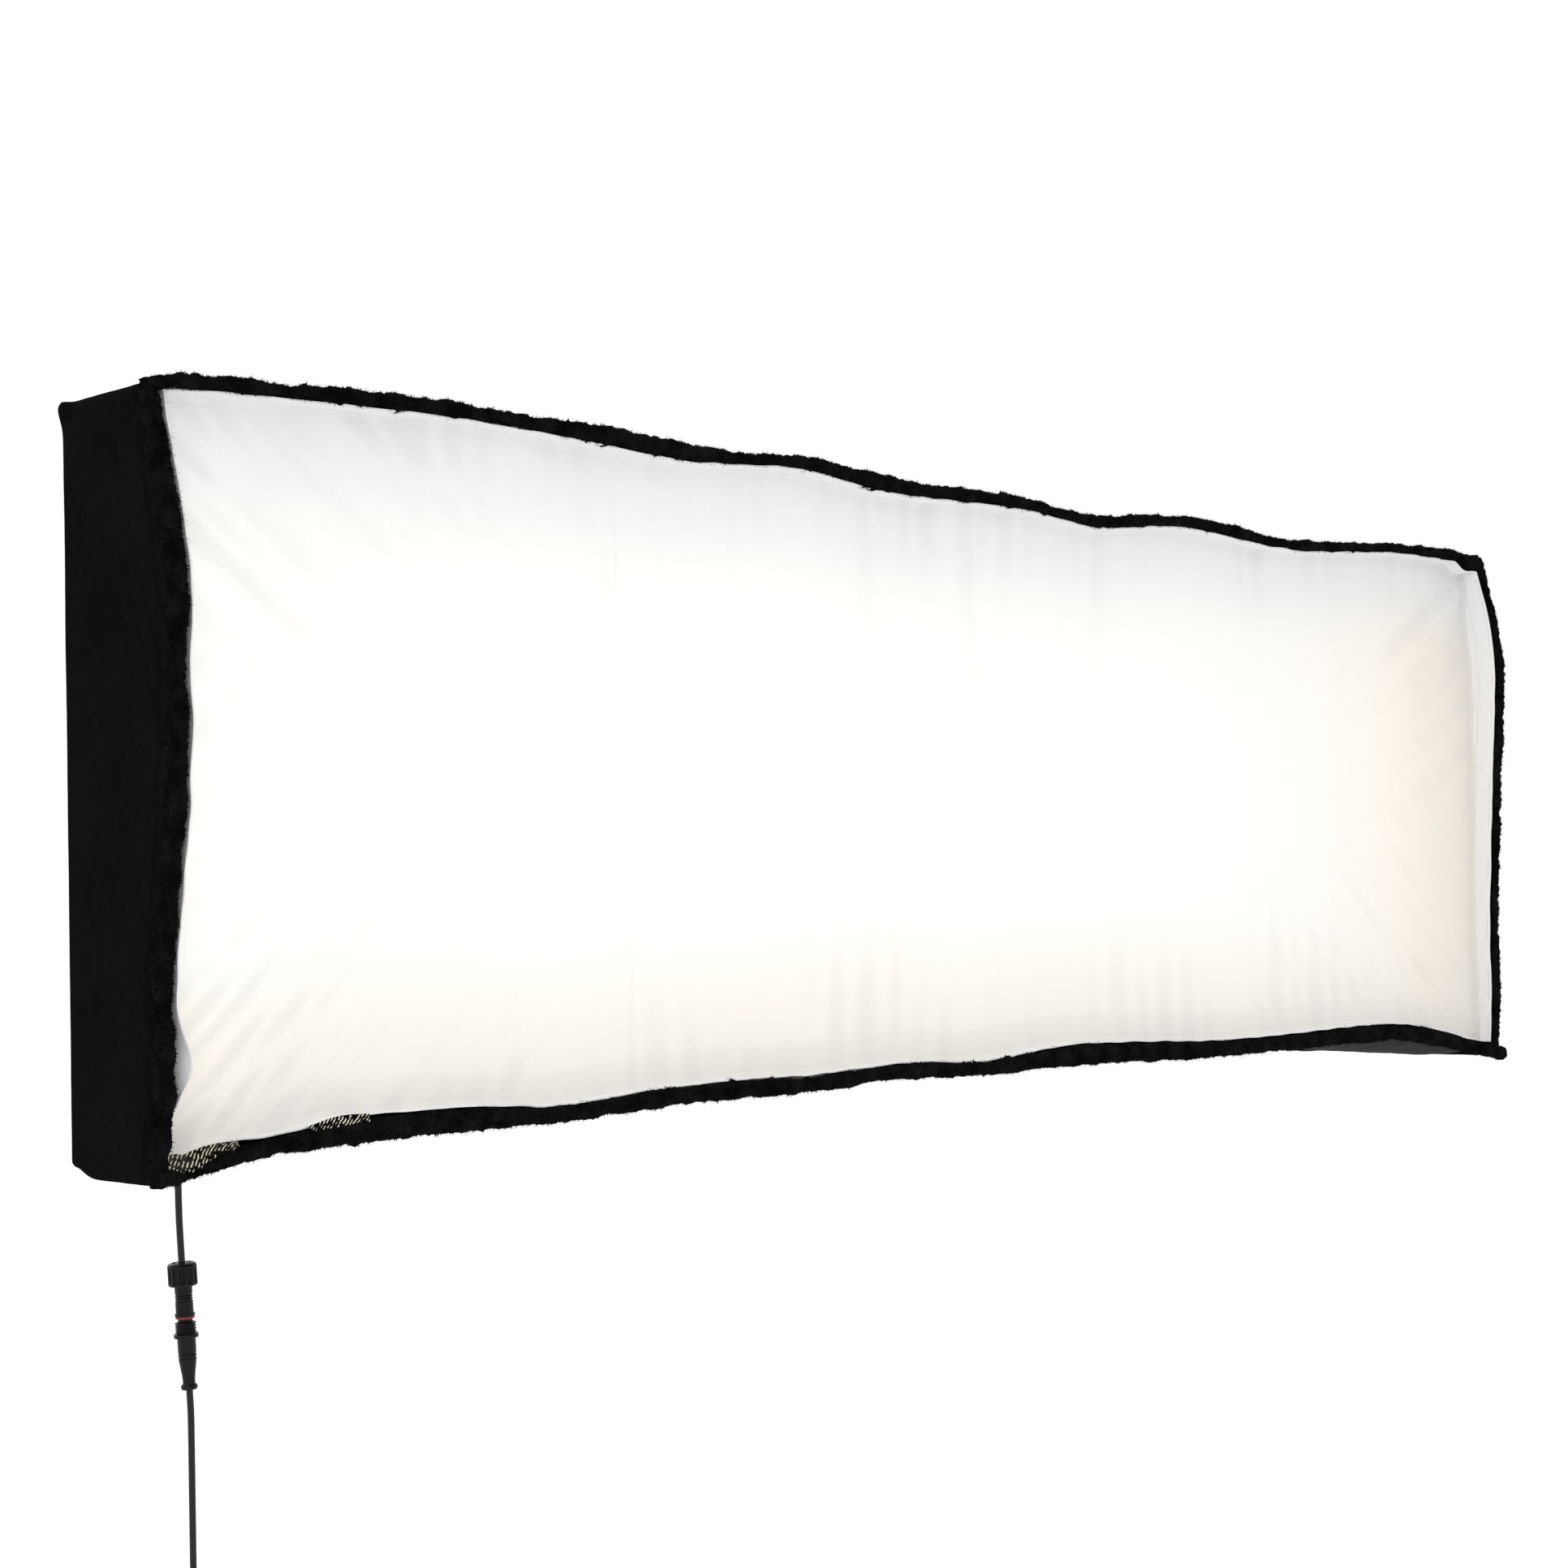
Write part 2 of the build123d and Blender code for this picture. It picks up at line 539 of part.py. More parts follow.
# ---- cable, connector and lead ----
def cable_box():
    x = (CABLE_X - CABLE_BOX_W / 2, CABLE_X + CABLE_BOX_W / 2)
    z = (CABLE_BOX_Z, CABLE_BOX_Z + CABLE_BOX_H)
    body = block(x, (COVER_BACK_Y, COVER_BACK_Y + CABLE_BOX_T), z)
    body = fillet(body.edges().filter_by(Axis.Y), 5)
    body = fillet(body.edges().group_by(Axis.Y)[-1], 2)
    save("cable_box", body)
    boot = Pos(CABLE_X, CABLE_Y, CABLE_BOX_Z - BOOT_L / 2) * Cone(BOOT_END_R, BOOT_TOP_R, BOOT_L)
    save("strain_relief", boot)


def tube(points, radius):
    """Round tube along straight runs joined by arcs as large as the two runs beside each allow."""
    corners = []
    for before, here, after in zip(points, points[1:], points[2:]):
        first = Vector(*here) - Vector(*before)
        second = Vector(*after) - Vector(*here)
        turn = math.radians(first.get_angle(second))
        shorter = min(first.length, second.length)
        corners.append(0.45 * shorter / math.tan(turn / 2))
    path = FilletPolyline(*points, radius=corners)
    start = Plane(points[0], z_dir=path % 0)
    solid = sweep(start * Circle(radius), path=path)
    print("tube", round(path.length, 1), "mm, radii", [round(r) for r in corners],
          "volume", round(solid.volume), "of", round(math.pi * radius ** 2 * path.length))
    return solid


def connector_place():
    """Local -Z runs down the connector from its top, leaning as it hangs."""
    return Pos(CABLE_X + CONNECTOR_SHIFT, CABLE_Y, CONNECTOR_Z) * Rot(0, -LEAN_DEG, 0)


def along(distance):
    """A point on the connector's axis, this far below its top."""
    lean = math.radians(LEAN_DEG)
    x = CABLE_X + CONNECTOR_SHIFT + distance * math.sin(lean)
    return (x, CABLE_Y, CONNECTOR_Z - distance * math.cos(lean))


def turned(*corners):
    """Solid of revolution about Z from (radius, distance below the top) corners."""
    profile = Polyline(*[(r, 0, -s) for r, s in corners], close=True)
    return revolve(make_face(profile), axis=Axis.Z)


def pigtail():
    route = [(CABLE_X, CABLE_Y, HANG_Z), (CABLE_X, CABLE_Y, PIGTAIL_BEND_Z), along(0)]
    save("pigtail_cable", tube(route, CABLE_R) + Pos(*route[0]) * Sphere(CABLE_R))


def connector_upper():
    at = connector_place()
    body = turned((0, 0), (UPPER_R - 1.5, 0), (UPPER_R, 3), (UPPER_R, UPPER_L - UPPER_STOP_L),
                  (UPPER_STOP_R, UPPER_L - UPPER_STOP_L), (UPPER_STOP_R, UPPER_L), (NOSE_R, UPPER_L),
                  (NOSE_R, NOSE_END), (0, NOSE_END))
    groove = Pos(0, 0, -UPPER_L - SEAL_SECTION_R) * Torus(SEAL_R, SEAL_SECTION_R)
    save("connector_upper", at * (body - groove))
    save("seal_ring", at * groove)
    pins = []
    for third in range(3):
        x = CONTACT_CIRCLE_R * math.cos(third * math.tau / 3)
        y = CONTACT_CIRCLE_R * math.sin(third * math.tau / 3)
        pins.append(at * rod_z(CONTACT_R, -CONTACT_END, -NOSE_END, x, y))
    save("contact_pins", *pins)


def coupling_ring():
    """Ribbed cup that slides down over the seal to the lower half's thread."""
    body = turned((RING_BORE_R, 0), (RING_R - 2.5, 0), (RING_R, 2), (RING_R, RING_L - 1),
                  (RING_R - 1, RING_L), (RING_CUP_R, RING_L), (RING_CUP_R, RING_TOP_WALL),
                  (RING_BORE_R, RING_TOP_WALL))
    for rib in range(RING_RIBS):
        angle = rib * math.tau / RING_RIBS
        x = RING_R * math.cos(angle)
        y = RING_R * math.sin(angle)
        body -= rod_z(RING_RIB_R, -RING_L + 3, -4, x, y)
    save("coupling_ring", connector_place() * body)


def connector_lower():
    body = turned((LOWER_BORE_R, LOWER_TOP), (THREAD_R, LOWER_TOP), (THREAD_R, LOWER_FLANGE_TOP),
                  (LOWER_FLANGE_R, LOWER_FLANGE_TOP), (LOWER_FLANGE_R, LOWER_FLANGE_END),
                  (LOWER_BODY_R, LOWER_FLANGE_END), (LOWER_TAPER_R, LOWER_TAPER_START),
                  (LOWER_WAIST_R, LOWER_END_FLANGE), (LOWER_END_R, LOWER_END_FLANGE), (LOWER_END_R, LOWER_L),
                  (0, LOWER_L), (0, LOWER_BORE_END), (LOWER_BORE_R, LOWER_BORE_END))
    for turn in range(3):
        valley = LOWER_TOP + THREAD_START + THREAD_STEP * turn
        body -= Pos(0, 0, -valley) * Torus(THREAD_R, THREAD_DEPTH)
    save("connector_lower", connector_place() * body)


def extension():
    """Lead that hangs straight from the connector into its coil, with its plug below."""
    end = along(LOWER_L)
    bend = along(LOWER_L + LEAD_BEND)
    hang_x = bend[0]
    coil_x = hang_x + COIL_MEAN_R + CABLE_R
    coil_front = CABLE_Y - CABLE_R - TURN_GAP / 2
    coil_back = coil_front + COIL_W
    coil = rod_y(COIL_OUT_R, coil_front, coil_back, coil_x, COIL_Z)
    coil = fillet(coil.edges(), CABLE_R * 0.7)
    coil -= rod_y(COIL_IN_R, coil_front - 1, coil_back + 1, coil_x, COIL_Z)
    lead = tube([end, bend, (hang_x, CABLE_Y, COIL_Z)], CABLE_R) - coil
    save("extension_cable", lead.solids().sort_by(Axis.Z)[-1])
    save("cable_coil", coil)
    tail_x = coil_x - COIL_MEAN_R + CABLE_R
    tail_y = coil_front - CLEAR - CABLE_R
    tail_end = COIL_Z - TAIL_DROP
    save("cable_tail", rod_z(CABLE_R, tail_end, COIL_Z + CABLE_R, tail_x, tail_y))
    save("end_plug", Pos(tail_x, tail_y, tail_end) * end_plug())
    save("cable_tie", tie_round(coil_x, coil_front, coil_back))


def end_plug():
    """Barrel plug with its boot, hanging from the origin."""
    body_end = PLUG_BOOT_L + PLUG_L
    barrel_end = body_end + PLUG_BARREL_L
    return turned((0, 0), (CABLE_R + 0.8, 0), (PLUG_R - 1, PLUG_BOOT_L), (PLUG_R, PLUG_BOOT_L),
                  (PLUG_R, body_end), (PLUG_BARREL_R, body_end), (PLUG_BARREL_R, barrel_end), (0, barrel_end))


def tie_round(coil_x, front, back):
    """Band round the coil's turns on its right."""
    x = (coil_x + COIL_IN_R - TIE_GAP, coil_x + COIL_OUT_R + TIE_GAP)
    outside = block((x[0] - TIE_T, x[1] + TIE_T), (front - TIE_T, back + TIE_T),
                    (COIL_Z - TIE_W / 2, COIL_Z + TIE_W / 2))
    return outside - block(x, (front, back), (COIL_Z - TIE_W, COIL_Z + TIE_W))


def main():
    os.makedirs("parts", exist_ok=True)
    walls()
    silver_lining()
    rim_tapes()
    rear_flange()
    corner_stays()
    diffuser()
    led_mat()
    flange_hook_tape()
    hub()
    for side in ARM_SIDES:
        arm(side)
    mount_bar()
    tilt_fork()
    tilt_lock()
    stud_socket()
    stud_clamp()
    cable_box()
    pigtail()
    connector_upper()
    coupling_ring()
    connector_lower()
    extension()


main()
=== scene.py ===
# %% Load the finished model as a fixed frame
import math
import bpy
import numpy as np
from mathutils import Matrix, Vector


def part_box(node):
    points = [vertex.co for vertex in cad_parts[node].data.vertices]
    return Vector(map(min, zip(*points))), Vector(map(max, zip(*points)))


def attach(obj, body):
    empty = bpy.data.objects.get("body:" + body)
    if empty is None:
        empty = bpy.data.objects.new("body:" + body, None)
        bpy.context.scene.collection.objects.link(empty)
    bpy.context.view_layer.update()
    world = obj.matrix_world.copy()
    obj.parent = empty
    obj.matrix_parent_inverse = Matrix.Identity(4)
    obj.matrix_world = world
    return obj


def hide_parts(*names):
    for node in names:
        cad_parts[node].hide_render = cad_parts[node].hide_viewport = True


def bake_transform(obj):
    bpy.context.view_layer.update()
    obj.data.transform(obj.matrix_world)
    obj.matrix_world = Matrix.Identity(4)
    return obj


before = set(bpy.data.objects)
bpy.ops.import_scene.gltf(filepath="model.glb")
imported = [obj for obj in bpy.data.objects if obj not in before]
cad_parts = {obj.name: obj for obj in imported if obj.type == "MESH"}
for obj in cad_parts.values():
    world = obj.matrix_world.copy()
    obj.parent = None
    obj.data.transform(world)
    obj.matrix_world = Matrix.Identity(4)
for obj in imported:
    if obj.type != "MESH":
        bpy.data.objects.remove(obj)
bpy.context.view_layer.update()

# %% [markdown]
# # A strip softbox on a flexible LED mat
# A strip softbox is a shallow black fabric box with a white cloth over its open front. The LEDs behind
# the cloth make its whole face glow evenly. This lesson takes the finished parts of the model, keeps
# the metal and plastic ones, and makes every soft one again as cloth, with its folds, nap and stitches.
# All lengths are in metres, and every piece sits where the model says.

MM = 0.001
left_wall, right_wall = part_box("panel_left"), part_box("panel_right")
HALF_W = right_wall[1].x
LOW, HIGH = left_wall[0].z, left_wall[1].z
REAR = left_wall[1].y
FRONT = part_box("panel_top")[0].y
MID_Z = (LOW + HIGH) / 2
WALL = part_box("panel_top")[1].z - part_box("silver_lining")[1].z
ARCH = 34 * MM  # the bottom's rear edge lifts this much in the middle
CLOTH_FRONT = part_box("diffuser_cloth")[0].y
print("box", 2 * HALF_W, "wide,", round(HIGH - LOW, 3), "high, from y", FRONT, "to", REAR)

# %% [markdown]
# ## Helpers for surfaces
# Nearly everything here is one of three shapes: a sheet with a thickness, a closed tube, or a ring.
# Each could be modelled by hand with extrudes and loop cuts. Working the points out as whole numpy
# arrays is quicker to change, and the same few functions serve every piece.

# %% Faces for grids of points
def grid_faces(rows, cols, wrap_rows=False, wrap_cols=False):
    """Quads between neighbouring points of a rows by cols grid, which may close on itself."""
    r = np.arange(rows if wrap_rows else rows - 1)[:, None]
    c = np.arange(cols if wrap_cols else cols - 1)[None, :]
    r1, c1 = (r + 1) % rows, (c + 1) % cols
    quads = np.stack([r * cols + c, r1 * cols + c, r1 * cols + c1, r * cols + c1], axis=-1)
    return quads.reshape(-1, 4)


def facing_out(points, faces):
    """Turns all faces of a closed shell round if its signed volume, the sum of a.(b x c) / 6,
    is below zero."""
    a, b, c, d = (points[faces[:, k]] for k in range(4))
    six = np.einsum("ij,ij->i", a, np.cross(b, c)) + np.einsum("ij,ij->i", a, np.cross(c, d))
    return faces if six.sum() > 0 else faces[:, ::-1]


def unit(vectors):
    """Each vector over its own length."""
    return vectors / np.maximum(np.linalg.norm(vectors, axis=-1, keepdims=True), 1e-12)


def lengths_along(grid, axis):
    """Distance walked along one axis of a grid, averaged over the other, from nought."""
    steps = np.linalg.norm(np.diff(grid, axis=axis), axis=-1).mean(axis=1 - axis)
    return np.concatenate([[0.0], np.cumsum(steps)])


def lengths_map(grid):
    """A flat map of the grid in metres: across its columns, then along its rows."""
    v, u = np.meshgrid(lengths_along(grid, 0), lengths_along(grid, 1), indexing="ij")
    return np.stack([u, v], axis=-1).reshape(-1, 2)


# %% A sheet with a thickness
def sheet_of(grid, thickness):
    """The grid's points, the same points moved back along the surface's normal by the thickness, and
    a strip of quads round the edge that joins the two."""
    rows, cols = grid.shape[:2]
    normal = unit(np.cross(np.gradient(grid, axis=0), np.gradient(grid, axis=1)))
    back = grid - normal * np.asarray(thickness)[..., None]
    points = np.concatenate([grid.reshape(-1, 3), back.reshape(-1, 3)])
    front = grid_faces(rows, cols)
    index = np.arange(rows * cols).reshape(rows, cols)
    edge = np.concatenate([index[:, 0], index[-1, 1:], index[-2::-1, -1], index[0, -2::-1]])
    a, b = edge[:-1], edge[1:]
    rim = np.stack([b, a, a + rows * cols, b + rows * cols], axis=-1)
    faces = np.concatenate([front, front[:, ::-1] + rows * cols, rim])
    uv = lengths_map(grid)
    return points, facing_out(points, faces), np.concatenate([uv, uv])


# %% A tube of rings with closed ends, and a ring that closes on itself
def tube_of(grid):
    """Each row of the grid is one closed ring. Both ends close in a fan to a point at their middle."""
    rows, cols = grid.shape[:2]
    body = grid_faces(rows, cols, wrap_cols=True)
    first, last, last_row = rows * cols, rows * cols + 1, (rows - 1) * cols
    c = np.arange(cols)
    c1 = (c + 1) % cols
    ends = [np.stack([c * 0 + first, c, c1, c1], -1),
            np.stack([c * 0 + last, c1 + last_row, c + last_row, c + last_row], -1)]
    points = np.concatenate([grid.reshape(-1, 3), grid[:1].mean(1), grid[-1:].mean(1)])
    uv = lengths_map(grid)
    uv = np.concatenate([uv, [[0, 0], [0, uv[:, 1].max()]]])
    return points, facing_out(points, np.concatenate([body, *ends])), uv


def ring_of(grid):
    """Rows and columns both close on themselves, as on a doughnut."""
    rows, cols = grid.shape[:2]
    points = grid.reshape(-1, 3)
    return points, facing_out(points, grid_faces(rows, cols, True, True)), lengths_map(grid)


def flat_on(part):
    """The same part, with a map that lies flat against the wall: across is X and up is Z."""
    return part[0], part[1], part[0][:, [0, 2]]


# %% From arrays to a named piece
def piece(name, parts, material, body, stands_for=(), crease=50):
    """Joins the parts into one mesh, smooth up to the crease angle, and lets it ride on a body."""
    points, faces, uvs, start = [], [], [], 0
    for p, f, uv in parts:
        points.append(p)
        faces.append(f + start)
        uvs.append(uv)
        start += len(p)
    points, faces, uvs = np.concatenate(points), np.concatenate(faces), np.concatenate(uvs)
    corners = [f[:3] if f[2] == f[3] else f for f in faces.tolist()]
    mesh = bpy.data.meshes.new(name)
    mesh.from_pydata(points.tolist(), [], corners)
    layer = mesh.uv_layers.new(name="Lengths")
    loops = np.zeros(len(mesh.loops), np.int32)
    mesh.loops.foreach_get("vertex_index", loops)
    layer.data.foreach_set("uv", uvs[loops].astype(np.float32).ravel())
    mesh.polygons.foreach_set("use_smooth", np.ones(len(mesh.polygons), bool))
    mesh.set_sharp_from_angle(angle=math.radians(crease))
    obj = bpy.data.objects.new(name, mesh)
    bpy.context.scene.collection.objects.link(obj)
    mesh.materials.append(material)
    if body:
        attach(obj, body)
    if stands_for:
        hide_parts(*stands_for)
    print(name, len(corners), "faces")
    return obj


# %% Smooth lines and soft noise
def flowing(x, places):
    """Height at x of a smooth line through given (place, height) points in millimetres, given in
    metres: a cubic between each two points, whose slope at a point is that between its neighbours."""
    p, v = np.array(places, float).T * MM
    slope = np.gradient(v, p)
    i = np.clip(np.searchsorted(p, x) - 1, 0, len(p) - 2)
    wide = p[i + 1] - p[i]
    t = np.clip((x - p[i]) / wide, 0, 1)
    return ((2 * t**3 - 3 * t**2 + 1) * v[i] + (t**3 - 2 * t**2 + t) * wide * slope[i]
            + (3 * t**2 - 2 * t**3) * v[i + 1] + (t**3 - t**2) * wide * slope[i + 1])


def soft_noise(points, wavelength, seed, waves=14):
    """About -1 to 1: a sum of sine waves of random directions and starts, with lengths near one
    wavelength, over 1.6 times the square root of half their number."""
    rng = np.random.default_rng(seed)
    ways = unit(rng.normal(size=(waves, points.shape[-1])))
    ways *= 2 * np.pi / (wavelength * rng.uniform(0.7, 1.5, (waves, 1)))
    return np.sin(points @ ways.T + rng.uniform(0, 2 * np.pi, waves)).sum(-1) / math.sqrt(waves / 2) / 1.6


def bump_at(x, middle, width):
    """Bell curve of height 1 at the middle."""
    return np.exp(-((x - middle) / width) ** 2)


def eased(x, start, end):
    """0 before start, 1 after end, with a smooth S between; start may be the higher one."""
    t = np.clip((x - start) / (end - start), 0, 1)
    return t * t * (3 - 2 * t)


# %% [markdown]
# ## Helpers for finishes
# A finish is a small tree of shader nodes. Colours are the usual web codes, which are turned to the
# linear light that the renderer adds up. Cloth patterns run on the piece's own map, whose unit is the
# metre, so a thread's spacing can be given in real millimetres and follows every fold.

# %% Colours and nodes
def colour(code):
    """sRGB hex to linear: c / 12.92 up to 0.04045, else ((c + 0.055) / 1.055) to the power 2.4."""
    c = np.array([int(code[k:k + 2], 16) / 255 for k in (1, 3, 5)])
    c = np.where(c <= 0.04045, c / 12.92, ((c + 0.055) / 1.055) ** 2.4)
    return (*c.tolist(), 1.0)


def fill(tree, node, inputs):
    """Fills a node's inputs from numbers or from other nodes' outputs."""
    for name, value in inputs.items():
        if isinstance(value, bpy.types.NodeSocket):
            tree.links.new(value, node.inputs[name])
        else:
            node.inputs[name].default_value = value


def add(tree, kind, inputs=None, **settings):
    """Adds one node with its settings, and fills its inputs."""
    node = tree.nodes.new(kind)
    for name, value in settings.items():
        setattr(node, name, value)
    fill(tree, node, inputs or {})
    return node


def new_finish(name, **sockets):
    """A material with one Principled shader, whose named sockets are set."""
    material = bpy.data.materials.new(name)
    material.use_nodes = True
    tree = material.node_tree
    shader = tree.nodes["Principled BSDF"]
    fill(tree, shader, {key.replace("_", " "): value for key, value in sockets.items()})
    return material, tree, shader


# A colour mix takes its share, first colour and second colour at these places, and gives its result there.
SHARE, FIRST, SECOND, MIXED = 0, 6, 7, 2


def wave_scale(spacing):
    """Blender's wave bands repeat every 2 pi / (20 x scale), so scale is pi / (10 x spacing)."""
    return math.pi / (10 * spacing)


# %% [markdown]
# ### Woven black cloth
# The walls are polyester twill: threads pass over two and under one, a step further along in each row,
# which leaves fine diagonal ribs. The real ribs are 0.6 mm apart, too fine to show from three metres, so
# they are drawn 2.2 mm apart. It could be a tiled image, but bands of a wave texture never repeat.

# %% Twill, velour and loop cloth
def woven_black(name, deep, light, rib, rib_height, roughness, gloss=0.04, angle=45):
    """Ribs at an angle across the cloth, painted lighter where they catch light as a painted highlight, broken
    up by fibres and by slow patches of wear and shine.
    """
    material, tree, shader = new_finish(name, Roughness=roughness, Specular_IOR_Level=gloss)
    lengths = add(tree, "ShaderNodeUVMap", uv_map="Lengths").outputs[0]
    slant = add(tree, "ShaderNodeMapping", {"Vector": lengths, "Rotation": (0, 0, math.radians(angle))})
    ribs = add(tree, "ShaderNodeTexWave", {"Vector": slant.outputs[0], "Scale": wave_scale(rib),
                                           "Distortion": 1.2, "Detail": 2.0, "Detail Scale": 2.0})
    fibres = add(tree, "ShaderNodeTexNoise", {"Vector": lengths, "Scale": 1 / (1.1 * MM), "Detail": 3.0})
    patches = add(tree, "ShaderNodeTexNoise", {"Vector": lengths, "Scale": 1 / (90 * MM), "Detail": 3.0})
    wear_and_shine_patches = add(tree, "ShaderNodeMath", {0: fibres.outputs[0], 1: patches.outputs[0]}, operation="MULTIPLY")
    share = add(tree, "ShaderNodeMath", {0: ribs.outputs["Fac"], 1: wear_and_shine_patches.outputs[0]}, operation="MULTIPLY")
    clear = add(tree, "ShaderNodeMath", {0: share.outputs[0], 1: 2.4}, operation="MULTIPLY", use_clamp=True)
    # The ribs' lighter tone is a painted highlight.
    tones = add(tree, "ShaderNodeMix", {SHARE: clear.outputs[0], FIRST: colour(deep), SECOND: colour(light)},
                data_type="RGBA")
    height = add(tree, "ShaderNodeMath", {0: ribs.outputs["Fac"], 1: fibres.outputs[0]}, operation="ADD")
    bump = add(tree, "ShaderNodeBump", {"Height": height.outputs[0], "Distance": rib_height, "Strength": 0.6})
    fill(tree, shader, {"Base Color": tones.outputs[MIXED], "Normal": bump.outputs[0]})
    return material


def cut_pile(name, deep, light, tuft, tuft_height):
    """Velour is cut pile: no weave shows, only soft tufts at two sizes, painted paler on top as a painted
    highlight and darker in the gaps as painted shade.
    """
    material, tree, shader = new_finish(name, Roughness=1.0, Specular_IOR_Level=0.02)
    place = add(tree, "ShaderNodeTexCoord").outputs["Object"]
    tufts = add(tree, "ShaderNodeTexNoise", {"Vector": place, "Scale": 1 / tuft, "Detail": 4.0,
                                             "Roughness": 0.65})
    drifts = add(tree, "ShaderNodeTexNoise", {"Vector": place, "Scale": 1 / (9 * tuft), "Detail": 2.0})
    both = add(tree, "ShaderNodeMath", {0: tufts.outputs[0], 1: drifts.outputs[0]}, operation="MULTIPLY")
    share = add(tree, "ShaderNodeMapRange", {"Value": both.outputs[0], "From Min": 0.17, "From Max": 0.42})
    # Painted highlight on the raised tufts, painted shade in the gaps between them.
    tones = add(tree, "ShaderNodeMix", {SHARE: share.outputs[0], FIRST: colour(deep), SECOND: colour(light)},
                data_type="RGBA")
    bump = add(tree, "ShaderNodeBump", {"Height": tufts.outputs[0], "Distance": tuft_height, "Strength": 0.8})
    fill(tree, shader, {"Base Color": tones.outputs[MIXED], "Normal": bump.outputs[0]})
    return material


# Polyester twill soaks up light, and only its ribs catch a little of it.
twill = woven_black("polyester_twill", "#030304", "#161618", 2.2 * MM, 0.35 * MM, 0.9, 0.02)
# The bottom panel is the same cloth seen at a low angle, where it catches a bluish sheen; that sheen is painted
# in as a paler, bluer colour.
twill_with_painted_sheen = woven_black("polyester_twill_painted_sheen", "#0b0b0f", "#2a2a33", 2.2 * MM, 0.35 * MM, 0.8, 0.1)
# The tips of the velour's pile are painted paler than its depths: painted highlight on the tips, painted shade
# down in the pile.
velour = cut_pile("black_velour", "#070707", "#1b1a1a", 1.9 * MM, 1.2 * MM)
# Loop cloth is the soft half of a hook-and-loop tape, brushed so that its loops stand up.
loop_cloth = woven_black("brushed_loop_cloth", "#070708", "#242428", 1.6 * MM, 0.5 * MM, 0.95, 0.08, angle=90)
print("black cloths:", twill.name, velour.name, loop_cloth.name)

# %% [markdown]
# ## Camera
# The camera stands at the left, a little below the middle of the box, and looks along its face, so the
# near end is larger. A long lens from further back would flatten that. It leans a degree and a half.

# %% Camera
YAW, PITCH, ROLL = math.radians(42.863), math.radians(3.002), math.radians(-1.534)
ahead = Vector((math.sin(YAW) * math.cos(PITCH), math.cos(YAW) * math.cos(PITCH), math.sin(PITCH)))
level = Vector((math.cos(YAW), -math.sin(YAW), 0))
above = level.cross(ahead)
across = level * math.cos(ROLL) + above * math.sin(ROLL)
upward = above * math.cos(ROLL) - level * math.sin(ROLL)
turn = Matrix((across, upward, -ahead)).transposed().to_4x4()
camera = bpy.data.objects.new("camera", bpy.data.cameras.new("camera"))
camera.matrix_world = Matrix.Translation((-1.6751, -1.7203, 0.1448)) @ turn
camera.data.lens, camera.data.sensor_width = 60.12, 36
camera.data.clip_end = 100
bpy.context.scene.collection.objects.link(camera)
bpy.context.scene.camera = camera
print("camera looks along", [round(v, 3) for v in ahead])

# %% [markdown]
# ## Cable, connector and lead
# The box's cable leaves a moulded boot at the back, low on the left, and hangs. A screwed connector joins
# it to a two-metre lead, whose spare length is wound into a neat coil. A cable could be a bent cylinder,
# but a spline through a few points has the easy curve of a real one, and its length can be measured.

# %% Finishes of cable and plastics
def cable_jacket():
    """PVC, extruded, so faint streaks run along it; smooth enough for a long highlight."""
    material, tree, shader = new_finish("pvc_cable_jacket", Roughness=0.24, Specular_IOR_Level=0.3, IOR=1.53)
    place = add(tree, "ShaderNodeTexCoord")
    stretched = add(tree, "ShaderNodeMapping", {"Vector": place.outputs["Object"], "Scale": (1, 1, 0.05)})
    streaks = add(tree, "ShaderNodeTexNoise", {"Vector": stretched.outputs[0], "Scale": 1 / (1.5 * MM),
                                               "Detail": 2.0})
    tones = add(tree, "ShaderNodeMix", {SHARE: streaks.outputs[0], FIRST: colour("#060608"),
                                        SECOND: colour("#15151a")}, data_type="RGBA")
    bump = add(tree, "ShaderNodeBump", {"Height": streaks.outputs[0], "Distance": 0.15 * MM, "Strength": 0.3})
    fill(tree, shader, {"Base Color": tones.outputs[MIXED], "Normal": bump.outputs[0]})
    return material


def grained(name, base, light, grain, height, roughness, metallic=0.0, spread=0.12, **more):
    """Moulded, cast or blasted surface: a fine grain in height, and a slow change in gloss and tone."""
    material, tree, shader = new_finish(name, Metallic=metallic, **more)
    place = add(tree, "ShaderNodeTexCoord").outputs["Object"]
    fine = add(tree, "ShaderNodeTexNoise", {"Vector": place, "Scale": 1 / grain, "Detail": 4.0})
    slow = add(tree, "ShaderNodeTexNoise", {"Vector": place, "Scale": 1 / (14 * MM), "Detail": 3.0})
    tones = add(tree, "ShaderNodeMix", {SHARE: slow.outputs[0], FIRST: colour(base), SECOND: colour(light)},
                data_type="RGBA")
    gloss = add(tree, "ShaderNodeMapRange", {"Value": slow.outputs[0], "To Min": roughness - spread,
                                             "To Max": roughness + spread})
    bump = add(tree, "ShaderNodeBump", {"Height": fine.outputs[0], "Distance": height, "Strength": 0.5})
    fill(tree, shader, {"Base Color": tones.outputs[MIXED], "Roughness": gloss.outputs[0],
                        "Normal": bump.outputs[0]})
    return material


pvc = cable_jacket()
nylon = grained("moulded_nylon_connector", "#0b0b0f", "#15161b", 0.5 * MM, 0.05 * MM, 0.36,
                Specular_IOR_Level=0.16)
rubber = grained("moulded_rubber", "#0c0c0d", "#151516", 0.8 * MM, 0.06 * MM, 0.7, Specular_IOR_Level=0.15)
seal_rubber = grained("silicone_seal_red", "#6f1a13", "#8c2a20", 0.7 * MM, 0.03 * MM, 0.4,
                      Subsurface_Weight=0.05)
print("cable finishes:", pvc.name, nylon.name, rubber.name, seal_rubber.name)

